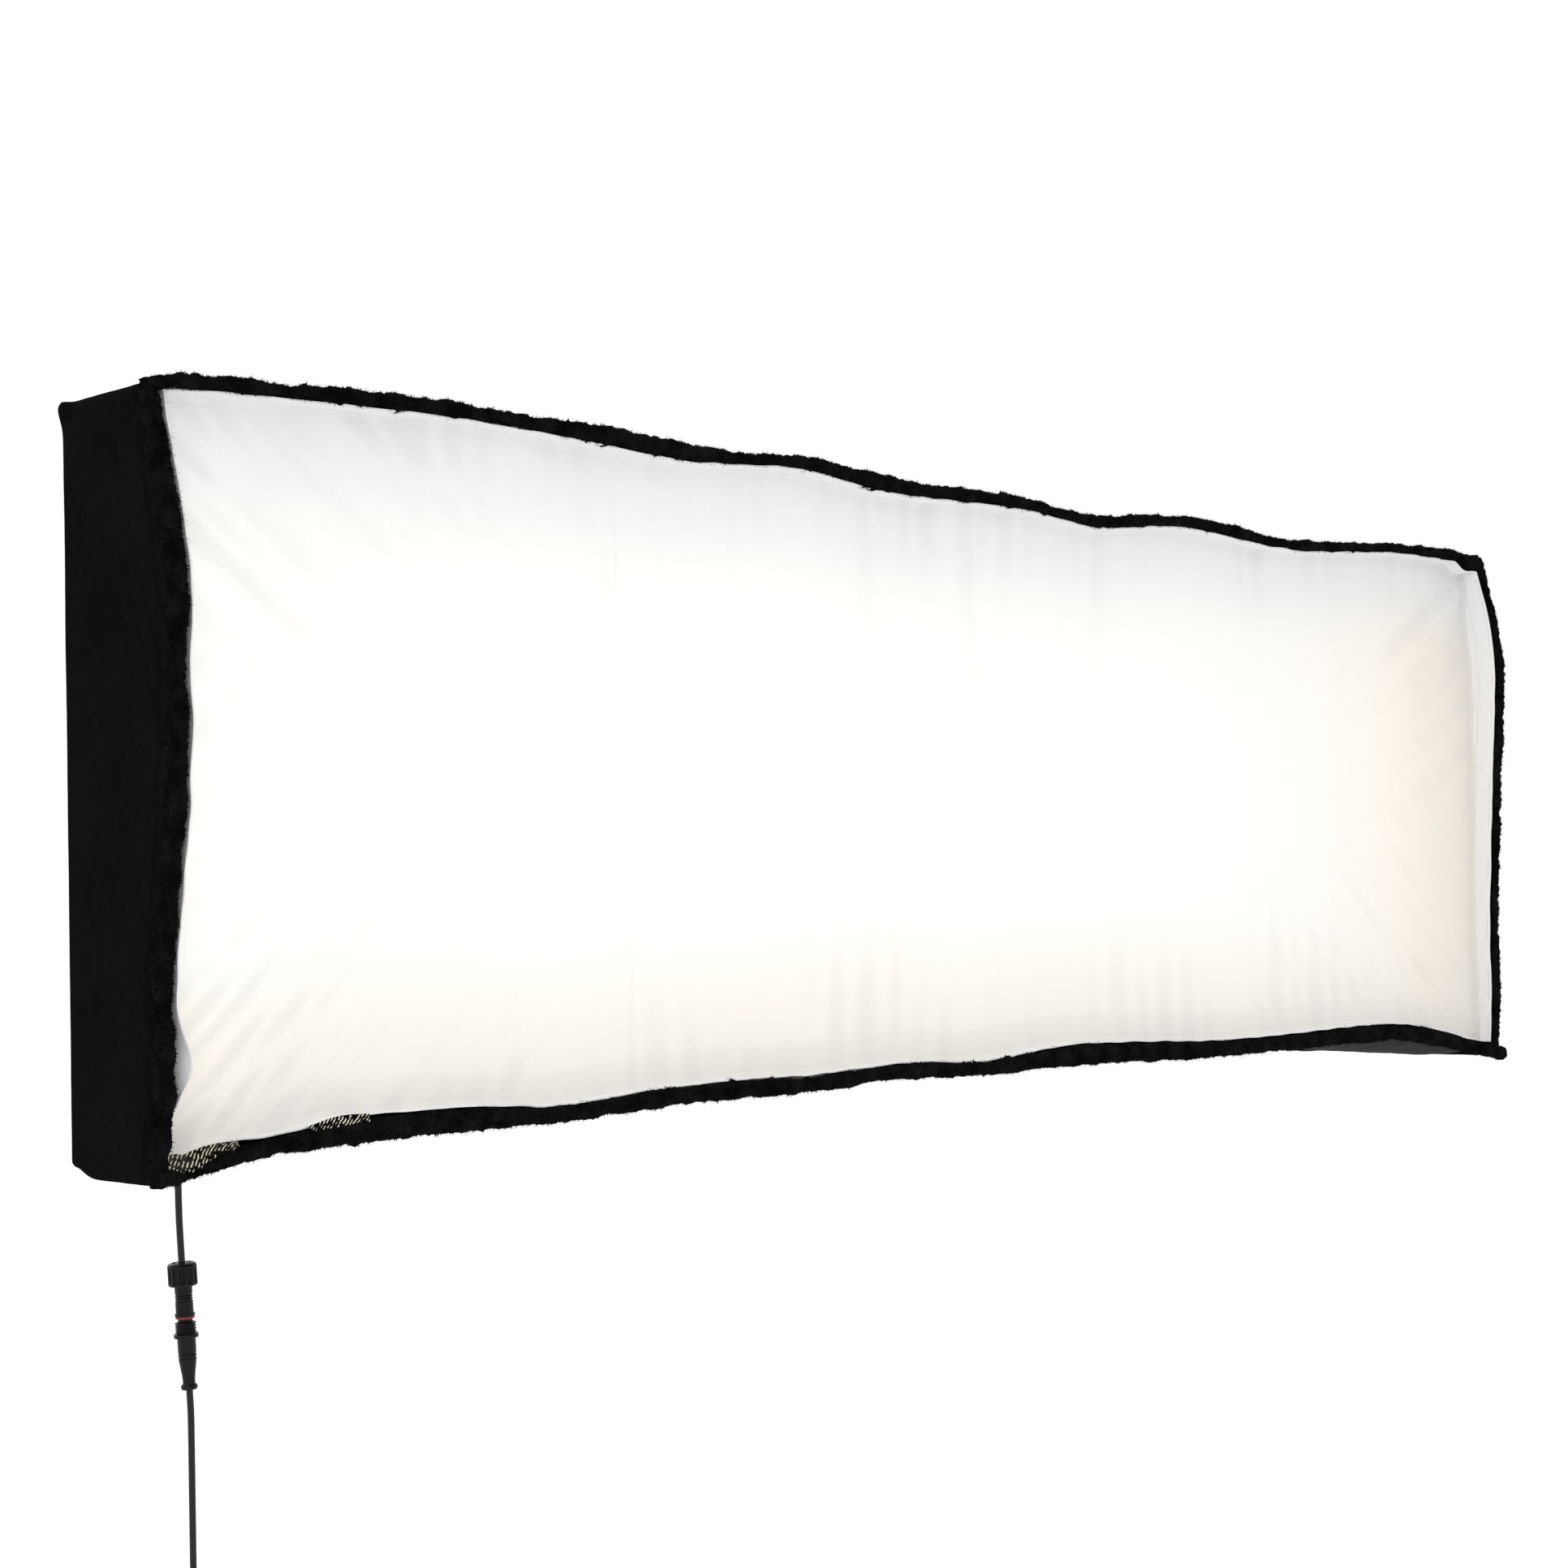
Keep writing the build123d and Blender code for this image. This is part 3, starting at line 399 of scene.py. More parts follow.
# %% The cable's first stretch, from the boot to the connector
CABLE = 5 * MM
CONNECTOR_LONG = 91 * MM
boot_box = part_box("strain_relief")
cable_x, cable_y = (boot_box[0].x + boot_box[1].x) / 2, (boot_box[0].y + boot_box[1].y) / 2
LEAN = math.radians(3)
DOWN = Vector((math.sin(LEAN), 0, -math.cos(LEAN)))
joint_top = Vector((cable_x + 2 * MM, cable_y, -88 * MM))


def length_of(line):
    """Sum of the distances between a line's points."""
    return round(float(np.linalg.norm(np.diff(line, axis=0), axis=1).sum()), 4)


def along(distance):
    """A point on the connector's axis, this far below its top."""
    return joint_top + DOWN * distance


def spline_through(name, points):
    """One NURBS spline of order 3, whose ends are clamped, with no thickness."""
    curve = bpy.data.curves.new(name, "CURVE")
    curve.dimensions, curve.resolution_u = "3D", 6
    spline = curve.splines.new("NURBS")
    spline.points.add(len(points) - 1)
    spline.points.foreach_set("co", np.array([(*p, 1.0) for p in points], np.float32).ravel())
    spline.order_u, spline.use_endpoint_u = 3, True
    obj = bpy.data.objects.new(name, curve)
    bpy.context.scene.collection.objects.link(obj)
    return obj


def line_of(curve_object):
    """The points that Blender itself draws the spline through."""
    bpy.context.view_layer.update()
    mesh = bpy.data.meshes.new_from_object(curve_object.evaluated_get(bpy.context.evaluated_depsgraph_get()))
    points = np.zeros(len(mesh.vertices) * 3)
    mesh.vertices.foreach_get("co", points)
    return points.reshape(-1, 3)


def sweep_rings(line, radius, around=20):
    """Rings of points round a line: at each point, radius x (side x cos + other side x sin), square
    to the line."""
    t = unit(np.gradient(line, axis=0))
    side = unit(np.cross(t, [0.0, 1.0, 0.0]))
    other = np.cross(side, t)
    a = np.linspace(0, 2 * np.pi, around, endpoint=False)[None, :, None]
    return line[:, None] + radius * (side[:, None] * np.cos(a) + other[:, None] * np.sin(a))


boot_mouth = Vector((cable_x, cable_y, boot_box[0].z))
first_points = [boot_mouth + Vector((0, 0, 3 * MM)), boot_mouth - Vector((0, 0, 12 * MM)),
                (cable_x, cable_y, -50 * MM), along(-8 * MM), along(1 * MM)]
first_run = spline_through("first_run", first_points)
first_line = line_of(first_run)
bpy.data.objects.remove(first_run)
even = np.linspace(0, 1, 60)
fine_line = np.stack([np.interp(even, np.linspace(0, 1, len(first_line)), first_line[:, k]) for k in range(3)],
                     axis=1)
pigtail = piece("pigtail_cable_jacket", [tube_of(sweep_rings(fine_line, CABLE / 2))], pvc, None,
                ["pigtail_cable"])
print("pigtail", length_of(fine_line), "m")

# %% [markdown]
# ### The lead and its coil
# The spare lead is wound in two layers of five turns. A helix would need room between its turns. Real
# turns lie flat beside each other and step over to the next place once a turn, so that is what is drawn:
# each turn keeps its place for most of the way round and shifts by one cable's width at the end.

# %% The lead
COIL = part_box("cable_coil")
HANGS_LOWER = 9 * MM  # the real coil sags this much below the model's neat rings
coil_x, coil_z = (COIL[0].x + COIL[1].x) / 2, (COIL[0].z + COIL[1].z) / 2 - HANGS_LOWER
LAYER, STEPS = 5, 18  # turns in a layer, points in a turn
FIRST_LANE, LANE = COIL[0].y + 2.6 * MM, 5.2 * MM  # each turn lies in its own lane, side by side
OUTER, INNER = 30 * MM, 25 * MM
CUTS_INSIDE = 1 / math.cos(math.pi / STEPS)  # the spline cuts inside its points by about this much
lead_points = [along(CONNECTOR_LONG - 2 * MM), along(100 * MM), along(110 * MM),
               (coil_x - OUTER, cable_y, -240 * MM), (coil_x - OUTER, cable_y, -300 * MM),
               (coil_x - OUTER, cable_y, coil_z + 9 * MM)]
for turn in range(2 * LAYER):
    outside = turn < LAYER  # the outer layer goes back lane by lane, and the inner one comes forward again
    for way_round in np.arange(STEPS) / STEPS:
        shift = 0.0 if turn in (LAYER - 1, 2 * LAYER - 1) else max(0.0, (way_round - 0.78) / 0.22)
        lane = turn + shift if outside else 2 * LAYER - 1 - turn - shift
        radius = OUTER if outside else INNER
        if turn == LAYER - 1:
            radius += (INNER - OUTER) * max(0.0, (way_round - 0.7) / 0.3)
        forward = 5.4 * MM * max(0.0, (way_round - 0.55) / 0.45) if turn == 2 * LAYER - 1 else 0.0
        angle = math.tau * way_round
        wobble = 0.25 * MM * math.sin(2.3 * turn + 3 * angle) if outside else 0.0
        r = (radius + wobble) * CUTS_INSIDE
        lead_points.append((coil_x - r * math.cos(angle), FIRST_LANE + lane * LANE - forward,
                            coil_z - r * math.sin(angle)))
tail_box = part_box("cable_tail")
tail_x, tail_y = (tail_box[0].x + tail_box[1].x) / 2, (tail_box[0].y + tail_box[1].y) / 2
lead_points += [(tail_x, tail_y, z) for z in (coil_z - 6 * MM, coil_z - 20 * MM, tail_box[0].z)]
lead_route = spline_through("lead_route", lead_points)
lead_line = line_of(lead_route)
bpy.data.objects.remove(lead_route)
lead = piece("extension_lead", [tube_of(sweep_rings(lead_line, CABLE / 2, 14))], pvc, "lower_lead",
             ["extension_cable", "cable_coil", "cable_tail"])
print("lead", length_of(lead_line), "m in", len(lead_points), "points")

# %% [markdown]
# ### The connector
# A screwed waterproof connector is moulded nylon: a ribbed ring that slides on the upper half, a red
# silicone seal, and a threaded lower half that tapers to the lead. All of it is round, so each part is
# one outline turned about an axis. Corners are rounded a little, because a sharp edge never shines.

# %% Outlines turned about an axis
def softened(outline, by=0.35 * MM, closed=False):
    """Each corner of an outline becomes three points: one before it, one inside it and one after it."""
    p = np.array(outline, float)
    before, after = np.roll(p, 1, axis=0), np.roll(p, -1, axis=0)
    to_before, to_after = before - p, after - p
    lb = np.maximum(np.linalg.norm(to_before, axis=1, keepdims=True), 1e-9)
    la = np.maximum(np.linalg.norm(to_after, axis=1, keepdims=True), 1e-9)
    a = p + to_before / lb * np.minimum(by, 0.45 * lb)
    c = p + to_after / la * np.minimum(by, 0.45 * la)
    b = (a + 2 * p + c) / 4
    rows = np.stack([a, b, c], axis=1)
    if closed:
        return rows.reshape(-1, 2)
    return np.concatenate([p[:1], rows[1:-1].reshape(-1, 2), p[-1:]])


def lathed(outline, top, down, around=72, closed=False, ribs=None):
    """Point at (radius, distance): top + down x distance + radius x (side x cos + other x sin).
    ribs gives how much is taken off the radius at each angle and distance."""
    outline = softened(outline, closed=closed)
    down = np.array(down, float)
    side = unit(np.cross([0.0, 1.0, 0.0], down))
    other = np.cross(down, side)
    a = np.linspace(0, 2 * np.pi, around, endpoint=False)
    r, s = outline[:, :1], outline[:, 1:]
    r = r - (ribs(a[None, :], s, r) if ribs else 0)
    grid = (np.array(top, float) + down * s[..., None]
            + r[..., None] * (side * np.cos(a)[None, :, None] + other * np.sin(a)[None, :, None]))
    return ring_of(grid) if closed else tube_of(grid)


def mm(*pairs):
    """(radius, distance) pairs in millimetres, as metres."""
    return [(r * MM, s * MM) for r, s in pairs]


# %% Upper half, with three grooves for the ring's lip
grooves = [(r, s + k) for k in (22.4, 24.4, 26.4) for r, s in ((6.3, 0), (5.7, 0.3), (5.7, 0.8), (6.3, 1.1))]
upper_outline = mm((2.7, 0), (4.8, 0), (5.6, 0.9), (6.3, 3), *grooves, (6.3, 36.2), (7.2, 36.2), (7.2, 38),
                   (5.2, 38), (5.2, 52), (2.0, 52))
upper = piece("connector_upper_half", [lathed(upper_outline, joint_top, DOWN)], nylon, "pigtail",
              ["connector_upper"])


# %% Coupling ring
def ring_ribs(a, s, r):
    """Twelve grip grooves in the ring's side: 1.35 mm x a window from 2.6 to 15 mm down x cos(12 a),
    eased."""
    window = eased(s, 2.6 * MM, 4.2 * MM) * (1 - eased(s, 13.4 * MM, 15 * MM))
    return 1.35 * MM * (r > 9.6 * MM) * window * eased(np.cos(12 * a), -0.3, 0.5)


side_of_ring = [(10.5, s) for s in (2.2, 4.0, 5.6, 8.5, 11.5, 13.6, 15.4)]
ring_outline = mm((6.6, 0), (8, 0), (9.6, 0.7), *side_of_ring, (9.8, 16.5), (7.8, 16.5), (7.8, 4), (6.6, 4))
ring = piece("coupling_ring_ribbed", [lathed(ring_outline, joint_top, DOWN, 168, True, ring_ribs)], nylon,
             "coupling_ring", ["coupling_ring"])

# %% Lower half, with its thread, and the seal between the halves
threads = [(r, 42.5 + 2.05 * k + d) for k in range(4)
           for r, d in ((6.7, 0.0), (7.55, 0.55), (7.55, 1.1), (6.7, 1.6))]
lower_outline = mm((5.5, 42.5), *threads, (6.9, 50.8), (8.8, 50.9), (8.8, 53.6), (6.6, 53.8), (6.6, 64.6),
                   (6.0, 64.9), (6.0, 65.4), (6.6, 65.7), (6.6, 67.2), (6.0, 67.5), (6.0, 68.0), (6.5, 68.3),
                   (6.2, 71), (5.6, 75), (4.9, 80), (4.5, 84), (4.4, 86.6), (5.7, 87.6), (6.0, 89),
                   (5.7, 90.6), (4.4, 91), (2.7, 91), (2.2, 62), (5.5, 61))
lower = piece("connector_lower_half", [lathed(lower_outline, joint_top, DOWN, closed=True)], nylon,
              "lower_lead", ["connector_lower"])
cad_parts["seal_ring"].data.materials.clear()
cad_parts["seal_ring"].data.materials.append(seal_rubber)
OUT_OF_NECK = np.array([-0.72, -0.69, 0.0])
hole_at = np.array(along(83 * MM)) + OUT_OF_NECK * 4.2 * MM
pin_ring = sweep_rings(np.array([hole_at, hole_at + OUT_OF_NECK * 0.5 * MM]), 0.55 * MM, 16)
moulding_hole = piece("moulding_hole", [tube_of(pin_ring)], rubber, "lower_lead")

# %% [markdown]
# ### Boot, plug and strap
# The boot and the plug's grip are moulded with ribs, so that they bend without kinking. A row of cubes
# would look stuck on, so the ribs are steps in the outline. The strap is a band of hook-and-loop cloth
# pulled tight, which makes a rectangle with round corners out of the turns that it holds.

# %% The boot at the box, and the plug at the lead's end
boot_top = Vector((cable_x, cable_y, boot_box[1].z))
boot_rings = [(5.4 - 0.09 * (2 + 4 * k + d) - cut, 2 + 4 * k + d) for k in range(4)
              for d, cut in ((0.0, 0), (2.2, 0), (2.6, 0.9), (3.6, 0.9))]
boot_outline = mm((5.6, 0), (5.6, 1.6), *boot_rings, (3.7, 19), (3.6, 22), (2.8, 22), (2.7, 16), (0.5, 16))
piece("strain_relief_boot", [lathed(boot_outline, boot_top, (0, 0, -1), 48)], rubber, "head",
      ["strain_relief"])
plug_top = Vector((tail_x, tail_y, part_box("end_plug")[1].z))
plug_rings = [(3.5 + 0.09 * (1.5 + 3 * k + d) - cut, 1.5 + 3 * k + d) for k in range(4)
              for d, cut in ((0.0, 0), (1.6, 0), (2.0, 0.6), (2.7, 0.6))]
plug_outline = mm((2.7, 0), (3.3, 0.4), *plug_rings, (5.5, 14.2), (5.5, 30), (5.2, 30.6), (5.2, 31.4),
                  (5.5, 32), (5.5, 43.4), (4.9, 44), (2.7, 44), (0.4, 43.5))
plug = piece("power_plug_body", [lathed(plug_outline, plug_top, (0, 0, -1), 64)], nylon, "lower_lead",
             ["end_plug"])
steel_barrel = grained("nickel_plated_steel", "#b9bbbd", "#d6d7d8", 0.3 * MM, 0.01 * MM, 0.22, metallic=1.0,
                       spread=0.05)
barrel_outline = mm((2.75, 43.6), (2.75, 53.6), (2.45, 54), (1.6, 54), (1.5, 45), (1.5, 44), (2.0, 43.6))
barrel = piece("power_plug_barrel", [lathed(barrel_outline, plug_top, (0, 0, -1), 48, closed=True)],
               steel_barrel, "lower_lead")

# %% The strap that holds the coil together
STRAP_THICK, STRAP_ROUND = 1.0 * MM, 0.2 * MM


def strap_round(box, lower, points=64):
    """A flat band round the turns: |x/a|^6 + |y/b|^6 = 1, which is nearly a rectangle with round corners."""
    mid, half = (box[0] + box[1]) / 2, (box[1] - box[0]) / 2
    a = np.linspace(0, 2 * np.pi, points, endpoint=False)
    c, s = (np.sign(w) * np.abs(w) ** (1 / 3) for w in (np.cos(a), np.sin(a)))
    rows = [np.stack([mid.x + (half.x - t) * c, mid.y + (half.y - t) * s,
                      np.full(points, mid.z - lower + h * half.z)], axis=1)
            for t, h in ((0, -0.9), (0, 0.9), (STRAP_ROUND, 1), (STRAP_THICK, 1), (STRAP_THICK, -1),
                         (STRAP_ROUND, -1))]
    return ring_of(np.stack(rows))


tie_cloth = woven_black("hook_and_loop_strap", "#0d0d0f", "#2e2e33", 1.6 * MM, 0.4 * MM, 0.9, 0.1, angle=90)
tie = piece("coil_strap", [strap_round(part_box("cable_tie"), HANGS_LOWER)], tie_cloth, "lower_lead",
            ["cable_tie"])

# %% [markdown]
# ## The shape of the fabric box
# The rim of such a box is never straight: the cloth pulls between its corners, so the top edge rolls up
# and down by a centimetre, the bottom edge lifts in the middle, and both side rims swell forward. A few
# given points for each edge say this, and one smooth line goes through them. The walls, the rim,
# the lining and the white cloth all read the same lines, so they always fit each other.

# %% Lines of the rim, (place, height) in millimetres
TOP_OUTER = [(-810, 518), (-791, 522), (-690, 527), (-557, 531), (-474, 528.5), (-394, 528.5), (-331, 524),
             (-253, 523), (-205, 527), (-151, 523), (-65, 517.5), (47, 517.5), (165, 509), (250, 517),
             (360, 517.5), (446, 510), (544, 514), (667, 521), (740, 522), (810, 518.5)]
TOP_INNER = [(-810, 512), (-790, 514), (-690, 518), (-554, 520.5), (-453, 517.5), (-327, 511),
             (-200, 516.5), (-125, 508.5), (77, 506.5), (161, 499.5), (283, 510), (453, 502), (675, 513),
             (745, 511.5), (758, 510.5), (768, 503.5), (785, 502.5), (810, 502)]
BOTTOM_INNER = [(-810, -8), (-786, -9), (-774, -8), (-761, -2.5), (-740, 3), (-695, 9.5), (-665, 14),
                (-607, 16.5), (-529, 15), (-492, 12), (-366, 18), (-298, 19.5), (-213, 19), (-90, 22.5),
                (-6, 18.5), (67, 24.5), (108, 27), (181, 25.5), (317, 20.5), (450, 21), (555, 23.5),
                (622, 22), (693, 11.5), (755, -1), (790, -5), (810, -7)]
BOTTOM_OUTER = [(-810, -22), (-715, -4), (-672, -3), (-607, -1), (-552, 0), (-483, 0.5), (-360, 5),
                (-284, 6.5), (-216, 6), (-134, 10.5), (-12, 8.5), (60, 9), (188, 8), (309, 6), (450, 6.5),
                (545, 8.5), (622, 7), (693, -3), (755, -15), (810, -21)]
LEFT_FRONT = [(-25, -165), (-1, -168), (46, -177), (77, -176), (108, -175), (138, -178), (173, -185),
              (219, -194), (250, -197), (281, -200), (332, -199), (375, -202), (411, -196), (440, -188),
              (474, -178), (511, -168), (525, -166)]
RIGHT_FRONT = [(-25, -168), (50, -173), (110, -174), (190, -179), (278, -185), (340, -190), (400, -193),
               (450, -188), (500, -176), (525, -170)]
FRONT_LIP = FRONT - 1.5 * MM
THICKEST_TOP = 13 * MM  # where the top rim is thicker, as in its right corner, only its inner side hangs lower
DEPTH = REAR - FRONT_LIP


def rim_of(x, outer, inner):
    """Middle and thickness of the top or bottom rim at x."""
    a, b = flowing(x, outer), flowing(x, inner)
    return (a + b) / 2, np.abs(a - b)


def top_wall(x, back):
    """Middle surface of the top wall, back metres behind the rim: from the rim's wavy line to the straight
    rear edge, eased from one to the other, with a slight sag."""
    thick = rim_of(x, TOP_OUTER, TOP_INNER)[1]
    rim = flowing(x, TOP_OUTER) - np.minimum(thick, THICKEST_TOP) / 2
    share = eased(back, 0, DEPTH)
    sag = 2.5 * MM * np.sin(np.pi * np.clip(back / DEPTH, 0, 1)) * (1 - (x / HALF_W) ** 2)
    return rim * (1 - share) + (HIGH - WALL / 2) * share - sag


def bottom_wall(x, back):
    """The same for the bottom wall, whose rear edge is an arc that lifts in the middle."""
    rim, _ = rim_of(x, BOTTOM_OUTER, BOTTOM_INNER)
    share = eased(back, 0, DEPTH)
    arc = LOW + WALL / 2 + ARCH * (1 - np.clip(np.abs(x) / HALF_W, 0, 1) ** 2)
    middle = np.sin(np.pi * np.clip(back / DEPTH, 0, 1)) ** 2
    belly = 5 * MM * middle * (bump_at(x, -0.6, 0.16) + bump_at(x, 0.58, 0.2))
    return rim * (1 - share) + arc * share - belly


def side_front(z, sign):
    """How far forward a side wall's rim reaches at height z."""
    return flowing(z, LEFT_FRONT if sign < 0 else RIGHT_FRONT)


three_places = np.array([-0.5, 0.0, 0.5])
print("rim thickness on top", np.round(rim_of(three_places, TOP_OUTER, TOP_INNER)[1] / MM, 1), "mm")

# %% [markdown]
# ### Outer walls
# Four panels of twill, sewn together along the box's long edges, where the cloth turns a small round
# corner. Each could be a plane with a cloth simulation. The panels are held taut by stays, so a smooth
# surface with slow puckers, a pressed seam line and a real thickness is closer and far quicker.

# %% Wall panels
CORNER_R = 7 * MM
SEAM_BACK = (21 * MM, 24.5 * MM)  # two stitch lines hold the rim's outer leg


def corner_drop(across, half):
    """How far a panel turns down near its sewn edge: the drop of a quarter circle, r - sqrt(r^2 - t^2)."""
    t = np.clip(across - (half - CORNER_R), 0, CORNER_R * 0.72)
    return CORNER_R - np.sqrt(CORNER_R**2 - t**2)


def pressed_seams(back):
    """The cloth is pulled in along each stitch line."""
    return sum(-0.5 * MM * bump_at(back, s, 1.1 * MM) for s in SEAM_BACK)


def spaced_back(steps=64):
    """Places behind the rim, closer together near the seams."""
    return np.concatenate([np.linspace(4 * MM, 28 * MM, steps // 2, endpoint=False),
                           np.linspace(28 * MM, DEPTH, steps // 2)])


def corner_lift(x, y, z):
    """The sewn corner at the bottom left of the rear is rounded off: everything there rises a little."""
    return 8 * MM * bump_at(z, LOW, 10 * MM) * bump_at(y, REAR, 16 * MM) * bump_at(x, -HALF_W, 14 * MM)


def long_panel(wall, sign, layer, steps=520):
    """Top or bottom panel: x along, back behind the rim; layer moves it outwards from the wall's middle."""
    ends = HALF_W - 1.2 * MM
    x, back = np.meshgrid(np.linspace(-ends, ends, steps), spaced_back(), indexing="ij")
    z = wall(x, back) + sign * (layer - corner_drop(np.abs(x), HALF_W))
    flat = np.stack([x, FRONT_LIP + back], axis=-1)
    puckers = 0.7 * MM * soft_noise(flat, 90 * MM, 3) + 0.35 * MM * soft_noise(flat, 24 * MM, 4)
    z += sign * (puckers + pressed_seams(back))
    z += corner_lift(x, flat[..., 1], z)
    return np.stack([x, FRONT_LIP + back, z], axis=-1)


def side_panel(sign, layer, steps=230):
    """Side panel: z along, and a share of the way from its swollen rim to the straight rear edge."""
    z, back = np.meshgrid(np.linspace(LOW + 1.5 * MM, HIGH - 1.5 * MM, steps), spaced_back(), indexing="ij")
    front = side_front(z, sign)
    y = front + back * (REAR - front) / DEPTH
    half = (HIGH - LOW) / 2
    x = HALF_W - WALL / 2 + layer - corner_drop(np.abs(z - MID_Z), half)
    flat = np.stack([y, z], axis=-1)
    slack = 1 - 0.85 * eased(back, DEPTH - 30 * MM, DEPTH)  # the rear edge is held straight
    puckers = 0.8 * MM * soft_noise(flat, 110 * MM, 7 + sign) + 0.3 * MM * soft_noise(flat, 22 * MM, 9)
    x += slack * puckers + pressed_seams(back)
    x -= 1.5 * MM * np.sin(np.pi * back / DEPTH) * np.sin(np.pi * (z - LOW) / (HIGH - LOW))
    share = (z - z.min()) / (z.max() - z.min())  # its upper end follows the top wall
    z = z + share * (top_wall(sign * HALF_W, np.clip(y - FRONT_LIP, 0, DEPTH)) + WALL / 2 - z.max())
    if sign < 0:  # the sewn corner stands up in a little ear at the top, and is rounded off at the bottom
        ear = bump_at(z, HIGH - 4 * MM, 10 * MM) * bump_at(y, REAR, 9 * MM)
        x, z = x + 4 * MM * ear, z + 1.5 * MM * ear
        z = z + corner_lift(-x, y, z)
    return np.stack([sign * x, y, z], axis=-1)


def walls_at(layer):
    """The four walls' grids at one layer, counted outwards from the middle of the cloth."""
    return {"top": long_panel(top_wall, 1, layer), "bottom": long_panel(bottom_wall, -1, layer),
            "left": side_panel(-1, layer), "right": side_panel(1, layer)}


def faced_out(side, grid):
    """The bottom and left grids run the other way round, so that their front also looks out of the box."""
    return grid[::-1] if side in ("bottom", "left") else grid


outer_walls = walls_at(WALL / 2)
for side, grid in outer_walls.items():
    # The bottom panel wears the twill with a painted sheen.
    piece(f"wall_panel_{side}", [sheet_of(faced_out(side, grid), WALL * 0.8)],
          twill_with_painted_sheen if side == "bottom" else twill, "head", [f"panel_{side}"])

# %% [markdown]
# ### Velour rim
# A strip of velour is folded over each front edge and sewn down on both sides. It is soft, so it makes a
# lip about a centimetre thick with a rough outline. The lip is a closed outline carried along the rim.
# Its nap is thousands of tiny spikes: hair would look alike, but it is lost when the model is exported.

# %% The folded lip
LEG_OUT, LEG_IN = 20 * MM, 11 * MM  # how far the fold reaches back, outside and inside
OVER_PANEL, UNDER_LINING = 1.1 * MM, 2.2 * MM  # how far each leg's end stands off the wall
SIDE_THICK = 11 * MM


def fold_outline(thick):
    """Two columns for each place on the rim: outwards from the wall's middle, and back from the lip's front.
    The outer leg rises from the panel to half the thickness, a half circle turns the front, and the inner
    leg falls back to the lining."""
    h = thick[:, None] / 2
    ease = np.sin(np.linspace(0, np.pi / 2, 11))[None, :]
    out_n = WALL / 2 + OVER_PANEL + (h - WALL / 2 - OVER_PANEL) * ease
    out_d = LEG_OUT + (h - LEG_OUT) * np.linspace(0, 1, 11)[None, :]
    a = np.linspace(np.pi / 2, -np.pi / 2, 13)[None, 1:-1]
    in_n = -(h - (h - WALL / 2 - UNDER_LINING) * (1 - np.sin(np.linspace(np.pi / 2, 0, 8)))[None, :])
    in_d = h + (LEG_IN - h) * np.linspace(0, 1, 8)[None, :]
    close = np.array([[-0.9, LEG_IN / MM], [0.9, LEG_IN / MM], [0.9, LEG_OUT / MM]]) * MM
    ones = np.ones_like(h)
    n = np.concatenate([out_n, h * np.sin(a), in_n, close[:, 0] * ones], axis=1)
    d = np.concatenate([out_d, h - h * np.cos(a), in_d, close[:, 1] * ones], axis=1)
    return n, d


def roughened(grid, seed):
    """Moves each point of the lip along its own surface's normal by soft noise of four sizes."""
    normal = unit(np.cross(np.gradient(grid, axis=0), np.roll(grid, -1, 1) - np.roll(grid, 1, 1)))
    size = (0.8 * soft_noise(grid, 45 * MM, seed) + 0.7 * soft_noise(grid, 14 * MM, seed + 1)
            + 0.65 * soft_noise(grid, 6 * MM, seed + 2) + 0.4 * soft_noise(grid, 3.4 * MM, seed + 3)) * MM
    return grid + normal * size[..., None]


def long_lip(wall, outer, inner, sign, seed, steps=1100):
    """Top or bottom lip: the outline at x, with its outward side up or down from the wall's middle."""
    x = np.linspace(-HALF_W - 1.5 * MM, HALF_W + 1.5 * MM, steps)
    n, d = fold_outline(rim_of(x, outer, inner)[1])
    grid_x = np.broadcast_to(x[:, None], n.shape).copy()
    z = wall(grid_x, d) + sign * n
    if sign > 0:  # where the top rim is thicker than the wall allows for, it grows inwards only
        thick = rim_of(grid_x, outer, inner)[1]
        z -= (thick - np.minimum(thick, THICKEST_TOP)) / 2
    if sign < 0:  # the bottom right corner's spare cloth sticks out and hangs a little
        corner = bump_at(grid_x, HALF_W + 2 * MM, 14 * MM)
        grid_x, z = grid_x + 7 * MM * corner, z - 4 * MM * corner
    return roughened(np.stack([grid_x, FRONT_LIP + d, z], axis=-1), seed)


def side_lip(sign, seed, steps=380):
    """Left or right lip: the outline at z, behind the rim's swollen front."""
    z = np.linspace(LOW - 1 * MM, HIGH + 1 * MM, steps)
    n, d = fold_outline(np.full(steps, SIDE_THICK))
    z = np.broadcast_to(z[:, None], n.shape)
    front = side_front(z, sign)
    squeeze = 1 - 0.6 * eased(np.abs(z - MID_Z), 0.255, 0.273)  # both ends are rounded off
    d = LEG_OUT / 2 + (d - LEG_OUT / 2) * (0.35 + 0.65 * squeeze)
    x = sign * (HALF_W - WALL / 2 + n * squeeze)
    return roughened(np.stack([x, front + d, z], axis=-1), seed)


lips = {"top": long_lip(top_wall, TOP_OUTER, TOP_INNER, 1, 20),
        "bottom": long_lip(bottom_wall, BOTTOM_OUTER, BOTTOM_INNER, -1, 30),
        "left": side_lip(-1, 40), "right": side_lip(1, 50)}
for side, grid in lips.items():
    piece(f"velour_lip_{side}", [tube_of(grid)], velour, "head", [f"rim_tape_{side}"])

